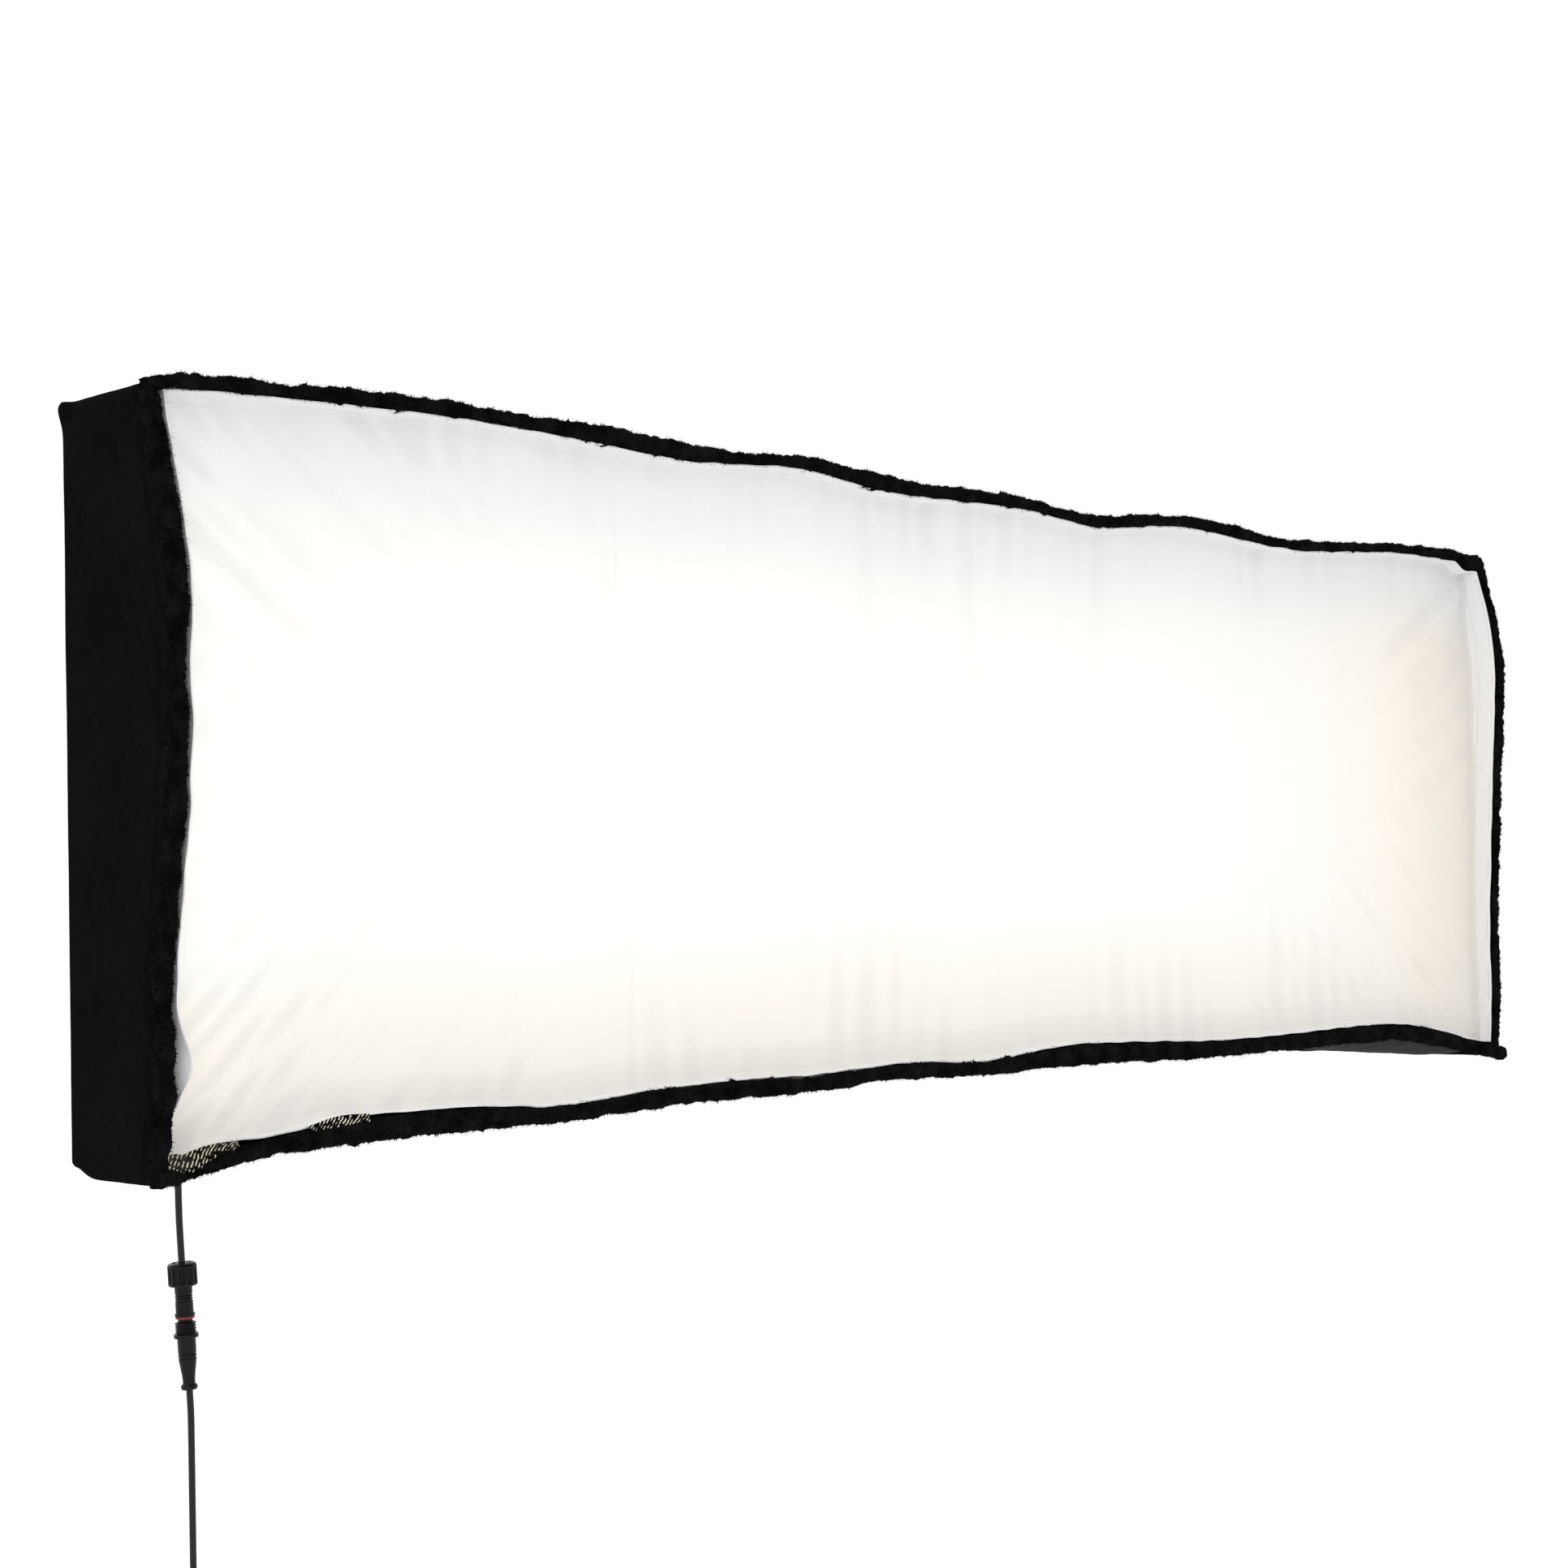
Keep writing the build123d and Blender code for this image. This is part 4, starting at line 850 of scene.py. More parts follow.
# %% The nap
def spikes(roots, ways, length, width):
    """Each spike is a thin three-sided pyramid: three corners round its root and one at its tip."""
    ways = unit(ways)
    side = unit(np.cross(ways, [0.3, 0.5, 0.8]))
    other = np.cross(ways, side)
    a = (np.array([0, 2, 4]) * np.pi / 3)[None, :, None]
    foot = roots[:, None] + width[:, None, None] * (side[:, None] * np.cos(a) + other[:, None] * np.sin(a))
    tip = roots + ways * length[:, None]
    points = np.concatenate([foot, tip[:, None]], axis=1).reshape(-1, 3)
    k = 4 * np.arange(len(roots))[:, None]
    faces = np.concatenate([k + np.array([face]) for face in
                            ((0, 1, 3, 3), (1, 2, 3, 3), (2, 0, 3, 3), (2, 1, 0, 0))])
    return points, faces, np.zeros((len(points), 2))


OUTWARD = 29  # the outline's first points, from the outer leg round the front to the inner leg


def nap_on(grid, count, seed):
    """Spikes at random places on the lip's three outward sides, leaning at random off its normal."""
    rng = np.random.default_rng(seed)
    i, j = rng.integers(1, len(grid) - 2, count), rng.integers(0, OUTWARD, count)
    s, t = rng.random((2, count, 1))
    a, b, c = grid[i, j], grid[i + 1, j], grid[i, j + 1]
    normal = np.cross(c - a, b - a)
    normal = unit(normal * np.sign((normal * (a - grid[i].mean(axis=1))).sum(1, keepdims=True)))
    roots = a + (b - a) * s + (c - a) * t - normal * 0.3 * MM
    ways = normal + rng.normal(scale=0.55, size=(count, 3))
    return spikes(roots, ways, rng.uniform(1.2, 3.4, count) * MM, rng.uniform(0.25, 0.5, count) * MM)


spikes_on = {"top": (15000, 60), "bottom": (15000, 61), "left": (6500, 62), "right": (5500, 63)}
piece("velour_nap", [nap_on(lips[side], *numbers) for side, numbers in spikes_on.items()], velour, "head")

# %% [markdown]
# ### Silver lining and rear flange
# Inside, the walls are lined with a metallised cloth that throws the light forward. It is woven, so it
# glitters in short slanting flecks, silver and warm grey. At the back a flat black flange runs round the
# opening, and the mat's border is pressed against it with hook tape.

# %% Metallised cloth
def metallised():
    """Aluminium vapour on a woven film: a metal, in flecks that slant across the threads, and paler
    or warmer in patches."""
    material, tree, shader = new_finish("metallised_woven_cloth", Metallic=1.0, Roughness=0.32)
    lengths = add(tree, "ShaderNodeUVMap", uv_map="Lengths").outputs[0]
    slant = add(tree, "ShaderNodeMapping", {"Vector": lengths, "Rotation": (0, 0, math.radians(32)),
                                            "Scale": (1, 0.28, 1)})
    flecks = add(tree, "ShaderNodeTexVoronoi", {"Vector": slant.outputs[0], "Scale": 1 / (1.6 * MM)})
    share = add(tree, "ShaderNodeMapRange", {"Value": flecks.outputs["Distance"], "From Min": 0.15,
                                             "From Max": 0.62})
    pale = add(tree, "ShaderNodeTexNoise", {"Vector": lengths, "Scale": 1 / (4 * MM)})
    silver = add(tree, "ShaderNodeMix", {SHARE: pale.outputs[0], FIRST: colour("#d9d9d6"),
                                         SECOND: colour("#c9b88f")}, data_type="RGBA")
    tones = add(tree, "ShaderNodeMix", {SHARE: share.outputs[0], FIRST: silver.outputs[MIXED],
                                        SECOND: colour("#2a2926")}, data_type="RGBA")
    bump = add(tree, "ShaderNodeBump", {"Height": flecks.outputs["Distance"], "Distance": 0.5 * MM,
                                        "Strength": 0.9})
    fill(tree, shader, {"Base Color": tones.outputs[MIXED], "Normal": bump.outputs[0]})
    return material


LINING_THICK = 0.5 * MM
lining_walls = {side: grid[6:-6:2, :-1] for side, grid in walls_at(-WALL / 2 - 0.2 * MM).items()}
lining_parts = [sheet_of(faced_out(side, grid), LINING_THICK) for side, grid in lining_walls.items()]
piece("silver_lining_cloth", lining_parts, metallised(), "head", ["silver_lining"])

# %% A flat frame of cloth round an opening
def loop_round(half_w, top, bottom, steps=260):
    """Points (x, z) round a frame, clockwise from the top left: along the top, down, back along the
    bottom, up. top and bottom give the height at x."""
    along_x = np.linspace(-half_w, half_w, steps, endpoint=False)
    short = steps // 3
    fall = np.linspace(0, 1, short, endpoint=False)
    right_top, right_low = top(np.array([half_w]))[0], bottom(np.array([half_w]))[0]
    left_top, left_low = top(np.array([-half_w]))[0], bottom(np.array([-half_w]))[0]
    return np.concatenate([np.stack([along_x, top(along_x)], 1),
                           np.stack([np.full(short, half_w), right_top + (right_low - right_top) * fall], 1),
                           np.stack([-along_x, bottom(-along_x)], 1),
                           np.stack([np.full(short, -half_w), left_low + (left_top - left_low) * fall], 1)])


def straight(height):
    """The same height at every x."""
    return lambda x: x * 0 + height


def arched(height):
    """The arc of the bottom's rear edge: height + ARCH x (1 - (x / HALF_W)^2)."""
    return lambda x: height + ARCH * (1 - (x / HALF_W) ** 2)


SHORT_OF_EDGE, OVER_MAT, FLANGE_THICK = 0.8 * MM, 15 * MM, 1.3 * MM
mat_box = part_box("led_mat")
rear_loop = loop_round(HALF_W - SHORT_OF_EDGE, straight(HIGH - SHORT_OF_EDGE), arched(LOW + SHORT_OF_EDGE))
opening = loop_round(mat_box[1].x - OVER_MAT, straight(mat_box[1].z - OVER_MAT),
                     straight(mat_box[0].z + OVER_MAT))
inwards_by = np.linspace(0, 1, 14)[:, None, None]
flange_xz = rear_loop[None] * (1 - inwards_by) + opening[None] * inwards_by
pucker = 0.35 * MM * soft_noise(flange_xz, 35 * MM, 70) * (1 - inwards_by[..., 0])
flange_back = np.stack([flange_xz[..., 0], REAR + 0.4 * MM + pucker, flange_xz[..., 1]], axis=-1)
flange_back[..., 2] += corner_lift(flange_back[..., 0], REAR, flange_back[..., 2])
flange_front = flange_back + np.array([0, -FLANGE_THICK, 0])
piece("rear_flange_cloth", [flat_on(ring_of(np.concatenate([flange_back, flange_front[::-1]])))], twill,
      "head", ["rear_flange"])

# %% [markdown]
# ## Diffuser
# The white cloth is one sheet sewn to a border of hook tape, which presses against the lining just inside
# the rim. It has been folded for storage, so faint upright creases stay in it, and it puckers where the
# border pulls it. A cloth simulation would give wrinkles in random places, and here they are put one by one.

# %% Surface of the white cloth
BAND_W = HALF_W - 9.6 * MM  # half the width of the white cloth and of its border
BAND_T = 1.1 * MM


def cloth_top(x):
    """Just under the top lip."""
    return flowing(x, TOP_INNER) - 0.8 * MM


def cloth_bottom(x):
    """Just above the lip, and higher in the bottom left corner and at one place further on, where the
    lining shows."""
    return (flowing(x, BOTTOM_INNER) + 0.8 * MM + 7.2 * MM * bump_at(x, -0.780, 0.035)
            + 2 * MM * bump_at(x, -0.665, 0.02))


# Each corner's place, the slant of its folds and its seed, and each storage crease's place and depth.
CORNERS = ((-0.79, LOW + 0.01, 0.9, 82), (0.79, LOW + 0.02, -0.9, 83), (0.79, HIGH - 0.01, 0.6, 84),
           (-0.79, HIGH, -0.7, 85))
CREASES = ((-0.391, 1.0 * MM), (0.024, 0.7 * MM), (0.41, 0.5 * MM))


def cloth_puckers(x, z):
    """Folds under the top hem and above the bottom hem, which die away inwards, slanting ones in the
    corners, and the upright storage creases."""
    down, up = cloth_top(x) - z, z - cloth_bottom(x)
    folds = 1.7 * MM * soft_noise(np.stack([x, z * 0.15], -1), 55 * MM, 80) * np.exp(-down / (60 * MM))
    folds += 2.6 * MM * soft_noise(np.stack([x, z * 0.2], -1), 60 * MM, 81) * np.exp(-up / (75 * MM))
    for cx, cz, way, seed in CORNERS:
        near = np.exp(-np.hypot(x - cx, z - cz) / 0.11)
        folds += 4.0 * MM * near * soft_noise(np.stack([x * way - z, x * 0.1], -1), 42 * MM, seed)
    folds += 1.6 * MM * soft_noise(np.stack([x, z], -1), 320 * MM, 86)
    creases = sum(deep * np.exp(-np.abs(x - at - 0.006 * np.sin(9 * z)) / (3.5 * MM)) for at, deep in CREASES)
    hem = 0.7 * MM * eased(up, 26.5 * MM, 24.5 * MM)
    return folds - creases - hem


def cloth_y(x, z):
    """The face lies flat across the box, and bows forward a little beside the swollen side rims."""
    bow = 0.0
    for sign in (-1, 1):
        swell = FRONT - side_front(z, sign)
        bow = bow + 0.4 * np.maximum(swell, -4 * MM) * np.exp(-(HALF_W - sign * x) / 0.09)
    return CLOTH_FRONT - bow + cloth_puckers(x, z)


face_u, face_v = np.meshgrid(np.linspace(-1, 1, 372), np.linspace(0, 1, 120), indexing="ij")
face_x = face_u * BAND_W
face_z = cloth_bottom(face_x) * (1 - face_v) + cloth_top(face_x) * face_v
face_y = cloth_y(face_x, face_z)
to_edge = np.minimum(np.minimum(BAND_W - np.abs(face_x), face_z - cloth_bottom(face_x)),
                     cloth_top(face_x) - face_z)
EDGE_R = 5 * MM  # the cloth's edge turns forward with this radius
roll = np.clip(1 - to_edge / EDGE_R, 0, 1)
face_y -= EDGE_R * (1 - np.sqrt(np.maximum(1 - roll**2, 0)))
face_grid = np.stack([face_x, face_y, face_z], axis=-1)

# %% [markdown]
# ### How the cloth glows
# The LEDs are behind the cloth, a hand's width away, so their round patches melt into an even white that
# falls off at the border. It is warmer there, because that light has bounced off the lining. Adding up
# every bounce would be slow, so two given lines give the share of the glow across and down.

# %% Light through the cloth
LED_PITCH = 44 * MM
led_x = np.arange(33) * LED_PITCH - 16 * LED_PITCH
led_z = MID_Z + (np.arange(9) - 4) * LED_PITCH
FULL_GLOW, LED_SPOT = 0.43, 10 * MM

# Shares of the full glow in thousandths: across the box by place in millimetres, and down it by
# thousandths of its height.
ACROSS = [(-800, 380), (-794, 520), (-786, 760), (-770, 930), (-700, 960), (-530, 1000), (0, 975), (340, 925),
          (555, 840), (675, 720), (750, 510), (800, 380)]
FROM_TOP = [(0, 500), (30, 570), (80, 640), (150, 790), (300, 945), (500, 1000), (700, 965), (850, 850),
            (930, 700), (1000, 450)]
down_share = (cloth_top(face_x) - face_z) / (cloth_top(face_x) - cloth_bottom(face_x))
by_side, by_height = flowing(face_x, ACROSS), flowing(down_share, FROM_TOP)
spots = sum(np.exp(-((face_x - spot_x) ** 2 + (face_z - spot_z) ** 2) / LED_SPOT**2)
            for spot_x in led_x[:4] for spot_z in led_z)
turned_away = np.abs(np.gradient(face_y, axis=0) / np.gradient(face_x, axis=0))
on_hem = eased(face_z - cloth_bottom(face_x), 26 * MM, 24 * MM)  # two layers of cloth pass less light
strength = FULL_GLOW * by_side * by_height + 0.012 * spots * eased(-face_x, 0.62, 0.72)
# Dimmer where the cloth turns away in its folds: painted shade in the folds.
strength *= (1 - 0.25 * eased(turned_away, 0.01, 0.2)) * (1 - 0.10 * on_hem)
warm, plain, cool = (np.array(colour(c)[:3]) for c in ("#ffe2ae", "#fffcf4", "#f2f4f8"))
side_tone = eased(by_side, 0.97, 0.62)[..., None]
low_tone = 0.5 * eased(down_share, 0.72, 0.9)[..., None]
high_tone = eased(down_share, 0.2, 0.05)[..., None]
tone = plain * (1 - high_tone) + cool * high_tone
warmth = np.maximum(side_tone * (1 - 0.85 * high_tone), low_tone)
tone = tone * (1 - warmth) + warm * warmth
glow = np.ones((*face_x.shape, 4))
glow[..., :3] = tone * strength[..., None]
print("glow in the middle, at the left edge and in a corner:", np.round(strength[[186, 3, 3], [60, 60, 3]], 3))

# %% White cloths
def white_cloth(name, tone, pale, roughness, spacing, height, glowing=False, rows=1.0):
    """Plain-weave polyester: threads over and under at even spacing, drawn three times as coarse as
    real, and matt."""
    material, tree, shader = new_finish(name, Roughness=roughness, Specular_IOR_Level=0.2, Sheen_Weight=0.05)
    lengths = add(tree, "ShaderNodeUVMap", uv_map="Lengths").outputs[0]
    warp = add(tree, "ShaderNodeTexWave", {"Vector": lengths, "Scale": wave_scale(spacing), "Distortion": 0.6})
    weft = add(tree, "ShaderNodeTexWave", {"Vector": lengths, "Scale": wave_scale(spacing / rows),
                                           "Distortion": 0.6}, bands_direction="Y")
    slubs = add(tree, "ShaderNodeTexNoise", {"Vector": lengths, "Scale": 1 / (14 * MM), "Detail": 5.0})
    weave = add(tree, "ShaderNodeMath", {0: warp.outputs["Fac"], 1: weft.outputs["Fac"]}, operation="ADD")
    tones = add(tree, "ShaderNodeMix", {SHARE: slubs.outputs[0], FIRST: colour(tone), SECOND: colour(pale)},
                data_type="RGBA")
    bump = add(tree, "ShaderNodeBump", {"Height": weave.outputs[0], "Distance": height, "Strength": 0.5})
    fill(tree, shader, {"Base Color": tones.outputs[MIXED], "Normal": bump.outputs[0]})
    if glowing:
        shine = add(tree, "ShaderNodeAttribute", attribute_name="Glow")
        fill(tree, shader, {"Emission Color": shine.outputs["Color"], "Emission Strength": 1.0})
    return material


diffusion = white_cloth("diffusion_polyester", "#cbcbca", "#cfcfce", 0.8, 1.4 * MM, 0.06 * MM, glowing=True)
white_tape = white_cloth("white_hook_tape", "#ededee", "#f6f6f6", 0.7, 1.9 * MM, 0.3 * MM, rows=1.4)
cloth = piece("diffuser_white_cloth", [sheet_of(face_grid[::-1], 0.9 * MM)], diffusion, "diffuser",
              ["diffuser_cloth"])
glow_layer = cloth.data.color_attributes.new("Glow", "FLOAT_COLOR", "POINT")
both_sides = np.concatenate([glow[::-1].reshape(-1, 4)] * 2)
glow_layer.data.foreach_set("color", both_sides.astype(np.float32).ravel())

# %% [markdown]
# ### Border of hook tape
# A stiff white tape runs round the cloth, square to it, and holds to the inside of the rim. It could be
# extruded from the cloth's edge, but it has a line of its own: it reaches almost to the rim's front, sits
# back in one corner and curls in at one place. So it is a closed ring between a front and a back line.

# %% The border of hook tape
def band_front(x, z):
    """How far forward the border reaches: just short of the rim, and set back in the bottom left corner."""
    side = np.where(x < 0, side_front(z, -1), side_front(z, 1)) + 4 * MM
    share = eased(np.abs(x), HALF_W - 45 * MM, BAND_W)
    y = (FRONT + 4 * MM) * (1 - share) + side * share
    return y + 15 * MM * bump_at(x, -0.785, 0.05) * eased(z, 0.06, 0.0)


edge_loop = loop_round(BAND_W, cloth_top, cloth_bottom, 420)
ex, ez = edge_loop.T
front_y, back_y = band_front(ex, ez), cloth_y(ex, ez) - 4.2 * MM
at_side = np.abs(ex) >= BAND_W - 1e-6
inwards = -np.stack([np.where(at_side, np.sign(ex), 0), np.zeros_like(ex),
                     np.where(at_side, 0, np.sign(ez - MID_Z))], axis=1)
set_back = np.linspace(0, 1, 10)[:, None]
wave = 0.5 * MM * soft_noise(edge_loop, 38 * MM, 90)[None] * (1 - set_back)
curl = 9 * MM * (bump_at(ez, 0.062, 0.020) * (ex < -0.7))[None] * (1 - set_back) ** 1.2
band_y = front_y[None] * (1 - set_back) + back_y[None] * set_back
band_rows = np.stack([ex[None] + 0 * set_back, band_y, ez[None] + 0 * set_back], axis=-1)
outer_rows = band_rows + inwards[None] * (wave + curl)[..., None]
inner_rows = outer_rows + inwards[None] * BAND_T
band = piece("diffuser_hook_border", [ring_of(np.concatenate([outer_rows, inner_rows[::-1]]))], white_tape,
             "diffuser", ["diffuser_edge_tape"])

# %% [markdown]
# ### Spare lining at the lower left
# The lining is cut a little too long, and its spare edge stands up between the rim and the white cloth.
# Lit from behind, the raw edge looks black with thin silver and gold strokes. Loose threads could do
# that, but a slanting strip with a striped metal finish looks the same with far fewer faces.

# %% The lining's spare cloth under the border
def gusset(first, last, steps=160):
    """A slanting strip of lining from just inside the lip, low, to the white cloth's lower edge, higher
    and further back."""
    x, up = np.meshgrid(np.linspace(first, last, steps), np.linspace(0, 1, 9), indexing="ij")
    low, high = flowing(x, BOTTOM_INNER) - 3 * MM, cloth_bottom(x) + 1.5 * MM
    y = FRONT + 1.5 * MM + (band_front(x, high) - FRONT - 2.5 * MM) * up ** 1.5
    z = low + (high - low) * up
    crumple = 0.5 * MM * soft_noise(np.stack([x + z, y, z], -1), 7 * MM, 110)
    return np.stack([x, y + crumple, z], axis=-1)


def raw_edge():
    """The cloth's edge against the light: black, as painted shade, with thin slanting strokes of silver and
    gold where threads catch the light."""
    material, tree, shader = new_finish("metallised_cloth_edge_painted_shade", Metallic=1.0, Roughness=0.3)
    lengths = add(tree, "ShaderNodeUVMap", uv_map="Lengths").outputs[0]
    slant = add(tree, "ShaderNodeMapping", {"Vector": lengths, "Rotation": (0, 0, math.radians(48))})
    strokes = add(tree, "ShaderNodeTexWave", {"Vector": slant.outputs[0], "Scale": wave_scale(2.4 * MM),
                                              "Distortion": 2.5, "Detail": 2.0, "Detail Scale": 1.5})
    thin = add(tree, "ShaderNodeMapRange", {"Value": strokes.outputs["Fac"], "From Min": 0.66,
                                            "From Max": 0.86})
    # These patches choose where threads shine and where the edge is painted black as shade.
    wear_and_shine_patches = add(tree, "ShaderNodeTexNoise", {"Vector": lengths, "Scale": 1 / (5 * MM)})
    kept = add(tree, "ShaderNodeMapRange", {"Value": wear_and_shine_patches.outputs[0], "From Min": 0.44, "From Max": 0.54})
    share = add(tree, "ShaderNodeMath", {0: thin.outputs[0], 1: kept.outputs[0]}, operation="MULTIPLY")
    metal = add(tree, "ShaderNodeMix", {SHARE: wear_and_shine_patches.outputs[0], FIRST: colour("#f6f5f0"),
                                        SECOND: colour("#e4d6ae")}, data_type="RGBA")
    # The black between the strokes is painted shade: the edge is seen against the light.
    tones = add(tree, "ShaderNodeMix", {SHARE: share.outputs[0], FIRST: colour("#0a0a0a"),
                                        SECOND: metal.outputs[MIXED]}, data_type="RGBA")
    fill(tree, shader, {"Base Color": tones.outputs[MIXED]})
    return material


gussets = [gusset(-HALF_W + 5 * MM, -0.742), gusset(-0.690, -0.640)]
piece("lining_gusset", [sheet_of(grid, 0.4 * MM) for grid in gussets], raw_edge(), "head")

# %% [markdown]
# ## Stitching
# Seams say that a thing was sewn. Each stitch here is its own small lozenge of thread lying on the cloth.
# A bump pattern would do from far off, but real stitches catch light one by one and stay when the model
# is used elsewhere. They are low in faces, because there are thousands of them.

# %% Many copies of one small shape
def copies(points, faces):
    """One shape's points for each copy, and the shape's faces, turned outwards and repeated."""
    count, corners = points.shape[:2]
    faces = facing_out(points[0], faces)[None] + corners * np.arange(count)[:, None, None]
    return points.reshape(-1, 3), faces.reshape(-1, 4), np.zeros((count * corners, 2))


# %% Rows of stitches
STITCH_RINGS = ((-0.32, 0.8), (0.0, 1.0), (0.32, 0.8))  # place along the stitch, and share of its width


def stitches(line, normal, pitch=4.2 * MM, long=3.1 * MM, wide=0.65 * MM):
    """One lozenge of 14 points for each pitch along the line: a point at both ends and three rings of four."""
    step = np.linalg.norm(np.diff(line, axis=0), axis=1)
    walked = np.concatenate([[0], np.cumsum(step)])
    at = np.arange(pitch, walked[-1] - pitch, pitch)
    centre = np.stack([np.interp(at, walked, line[:, k]) for k in range(3)], axis=1)
    way = unit(np.stack([np.interp(at, walked, np.gradient(line[:, k], walked)) for k in range(3)], axis=1))
    up = np.stack([np.interp(at, walked, normal[:, k]) for k in range(3)], axis=1)
    side = np.cross(way, up)
    quarter_turns = (0, math.pi / 2, math.pi, 1.5 * math.pi)
    shape = np.array([(-0.5, 0, 0), *((a, w * math.cos(t), w * math.sin(t)) for a, w in STITCH_RINGS
                                      for t in quarter_turns), (0.5, 0, 0)])
    points = (centre[:, None] + way[:, None] * shape[None, :, :1] * long
              + side[:, None] * shape[None, :, 1:2] * wide / 2 + up[:, None] * (shape[None, :, 2:] * wide / 2))
    faces = []
    for k, k1 in ((0, 1), (1, 2), (2, 3), (3, 0)):
        faces += [(r + k, r + k1, r + 4 + k1, r + 4 + k) for r in (1, 5)]
        faces += [(0, 1 + k1, 1 + k, 1 + k), (13, 9 + k, 9 + k1, 9 + k1)]
    return copies(points, np.array(faces))


def thread(name, tone):
    """Twisted polyester sewing thread: dull, with a faint twist every millimetre."""
    return grained(name, tone, tone, 0.6 * MM, 0.08 * MM, 0.75, Sheen_Weight=0.1)


def lifted(grid, column, by):
    """One column of a panel's grid, and its normal, moved out by a hair."""
    line = grid[:, column]
    normal = unit(np.cross(np.gradient(grid, axis=0)[:, column], np.gradient(grid, axis=1)[:, column]))
    outside = line - np.array([0, line[:, 1].mean(), MID_Z])
    outside[:, 1] = 0
    normal *= np.sign((normal * outside).sum(1, keepdims=True))
    return line + normal * by, normal


black_thread = thread("black_polyester_thread", "#17171a")
white_thread = thread("white_polyester_thread", "#e9e9ea")
hem_thread = thread("grey_polyester_thread", "#bdbdbf")
columns = [int(np.abs(spaced_back() - s).argmin()) for s in SEAM_BACK]
black_rows = [stitches(*lifted(grid, column, 0.1 * MM)) for grid in outer_walls.values() for column in columns]
piece("panel_stitching", black_rows, black_thread, "head")

# %% Stitches of the hem and of the border's sides
HEM_STITCH = (3.6 * MM, 2.6 * MM, 0.55 * MM)  # pitch, length and width
hem_x = np.linspace(-BAND_W + 6 * MM, BAND_W - 6 * MM, 700)
hem_rows = []
for z in (cloth_bottom(hem_x) + 25 * MM, cloth_top(hem_x) - 7 * MM):
    line = np.stack([hem_x, cloth_y(hem_x, z) - 0.2 * MM, z], axis=1)
    hem_rows.append(stitches(line, np.tile([0.0, -1.0, 0.0], (len(line), 1)), *HEM_STITCH))
right_z = np.linspace(LOW + 18 * MM, HIGH - 22 * MM, 260)
edge_x = np.full_like(right_z, BAND_W - BAND_T)
for back in (3 * MM, 20 * MM):
    for sign in (-1, 1):
        y = band_front(sign * edge_x, right_z) + back
        line = np.stack([sign * (edge_x - 0.1 * MM), y, right_z], axis=1)
        hem_rows.append(stitches(line, np.tile([-sign * 1.0, 0.0, 0.0], (len(line), 1)), *HEM_STITCH))
hem_stitching = piece("diffuser_stitching", hem_rows, hem_thread, "diffuser")

# %% [markdown]
# ### Frayed threads
# In the top left corner the hem's cut edge has come apart, and short white threads stand out towards the
# front. Curves would give them bends, but each is only a few millimetres long, so a thin spike will do.

# %% Threads that have frayed out of the hem's top left corner
FRAYED = 220
rng = np.random.default_rng(95)
fray_z = HIGH - 8 * MM - 150 * MM * rng.random(FRAYED) ** 1.6
fray_out = np.abs(rng.normal(size=FRAYED)) * 4 * MM * bump_at(fray_z, HIGH - 12 * MM, 25 * MM)
fray_x = -BAND_W + 1 * MM + fray_out
fray = np.stack([fray_x, band_front(fray_x, fray_z) + rng.uniform(-1, 3, FRAYED) * MM, fray_z], axis=1)
fray_ways = rng.normal(size=(FRAYED, 3)) * [0.8, 0.8, 1.0] + [-0.1, -1.2, 0.0]
fray_spikes = spikes(fray, fray_ways, rng.uniform(2, 5.5, FRAYED) * MM, np.full(FRAYED, 0.26 * MM))
frayed = piece("frayed_threads", [fray_spikes], white_thread, "diffuser")

# %% [markdown]
# ## LED mat
# The light source is a thin flexible board with 297 LEDs in nine rows. Each LED is a white moulded frame
# with a yellow phosphor window. One is modelled, then all are placed at once, and each has few faces.
# The board's back is covered with loop cloth, bound at its edge like a blanket, and the arms stick to it.

# %% LEDs
def boxes_at(centres, size, taper=0.0):
    """A block at each centre, its front (towards -Y) smaller by the taper, as one array."""
    sx, sy, sz = np.array(size) / 2
    shape = np.array([(a * (sx - taper * (b < 0)), b * sy, c * (sz - taper * (b < 0)))
                      for a in (-1, 1) for b in (-1, 1) for c in (-1, 1)])
    faces = [(0, 1, 3, 2), (4, 6, 7, 5), (0, 4, 5, 1), (2, 3, 7, 6), (0, 2, 6, 4), (1, 5, 7, 3)]
    return copies(centres[:, None] + shape[None], np.array(faces))


lx, lz = (g.ravel() for g in np.meshgrid(led_x, led_z))
phosphor = grained("silicone_phosphor", "#e8b93c", "#f4d470", 0.5 * MM, 0.02 * MM, 0.3, Subsurface_Weight=0.1,
                   Emission_Color=colour("#ffe6b0"), Emission_Strength=1.5)
housing = grained("moulded_white_led_housing", "#e9e8e4", "#f4f3ef", 0.5 * MM, 0.02 * MM, 0.4)
solder = grained("tinned_solder", "#c3c4c6", "#dcdddd", 0.4 * MM, 0.05 * MM, 0.3, metallic=1.0)
frames_at = np.stack([lx, np.full_like(lx, mat_box[0].y - 0.35 * MM), lz], axis=1)
windows_at = frames_at - [0, 0.35 * MM, 0]
pads_at = np.concatenate([frames_at + [s * 3.1 * MM, 0.25 * MM, 0] for s in (-1, 1)])
piece("led_housings", [boxes_at(frames_at, (5.2 * MM, 0.7 * MM, 5.2 * MM), 0.25 * MM)], housing, "head",
      ["led_rows"])
piece("led_windows", [boxes_at(windows_at, (3.7 * MM, 0.16 * MM, 3.7 * MM), 0.3 * MM)], phosphor, "head")
piece("led_solder_pads", [boxes_at(pads_at, (1.6 * MM, 0.25 * MM, 3.4 * MM), 0.2 * MM)], solder, "head")

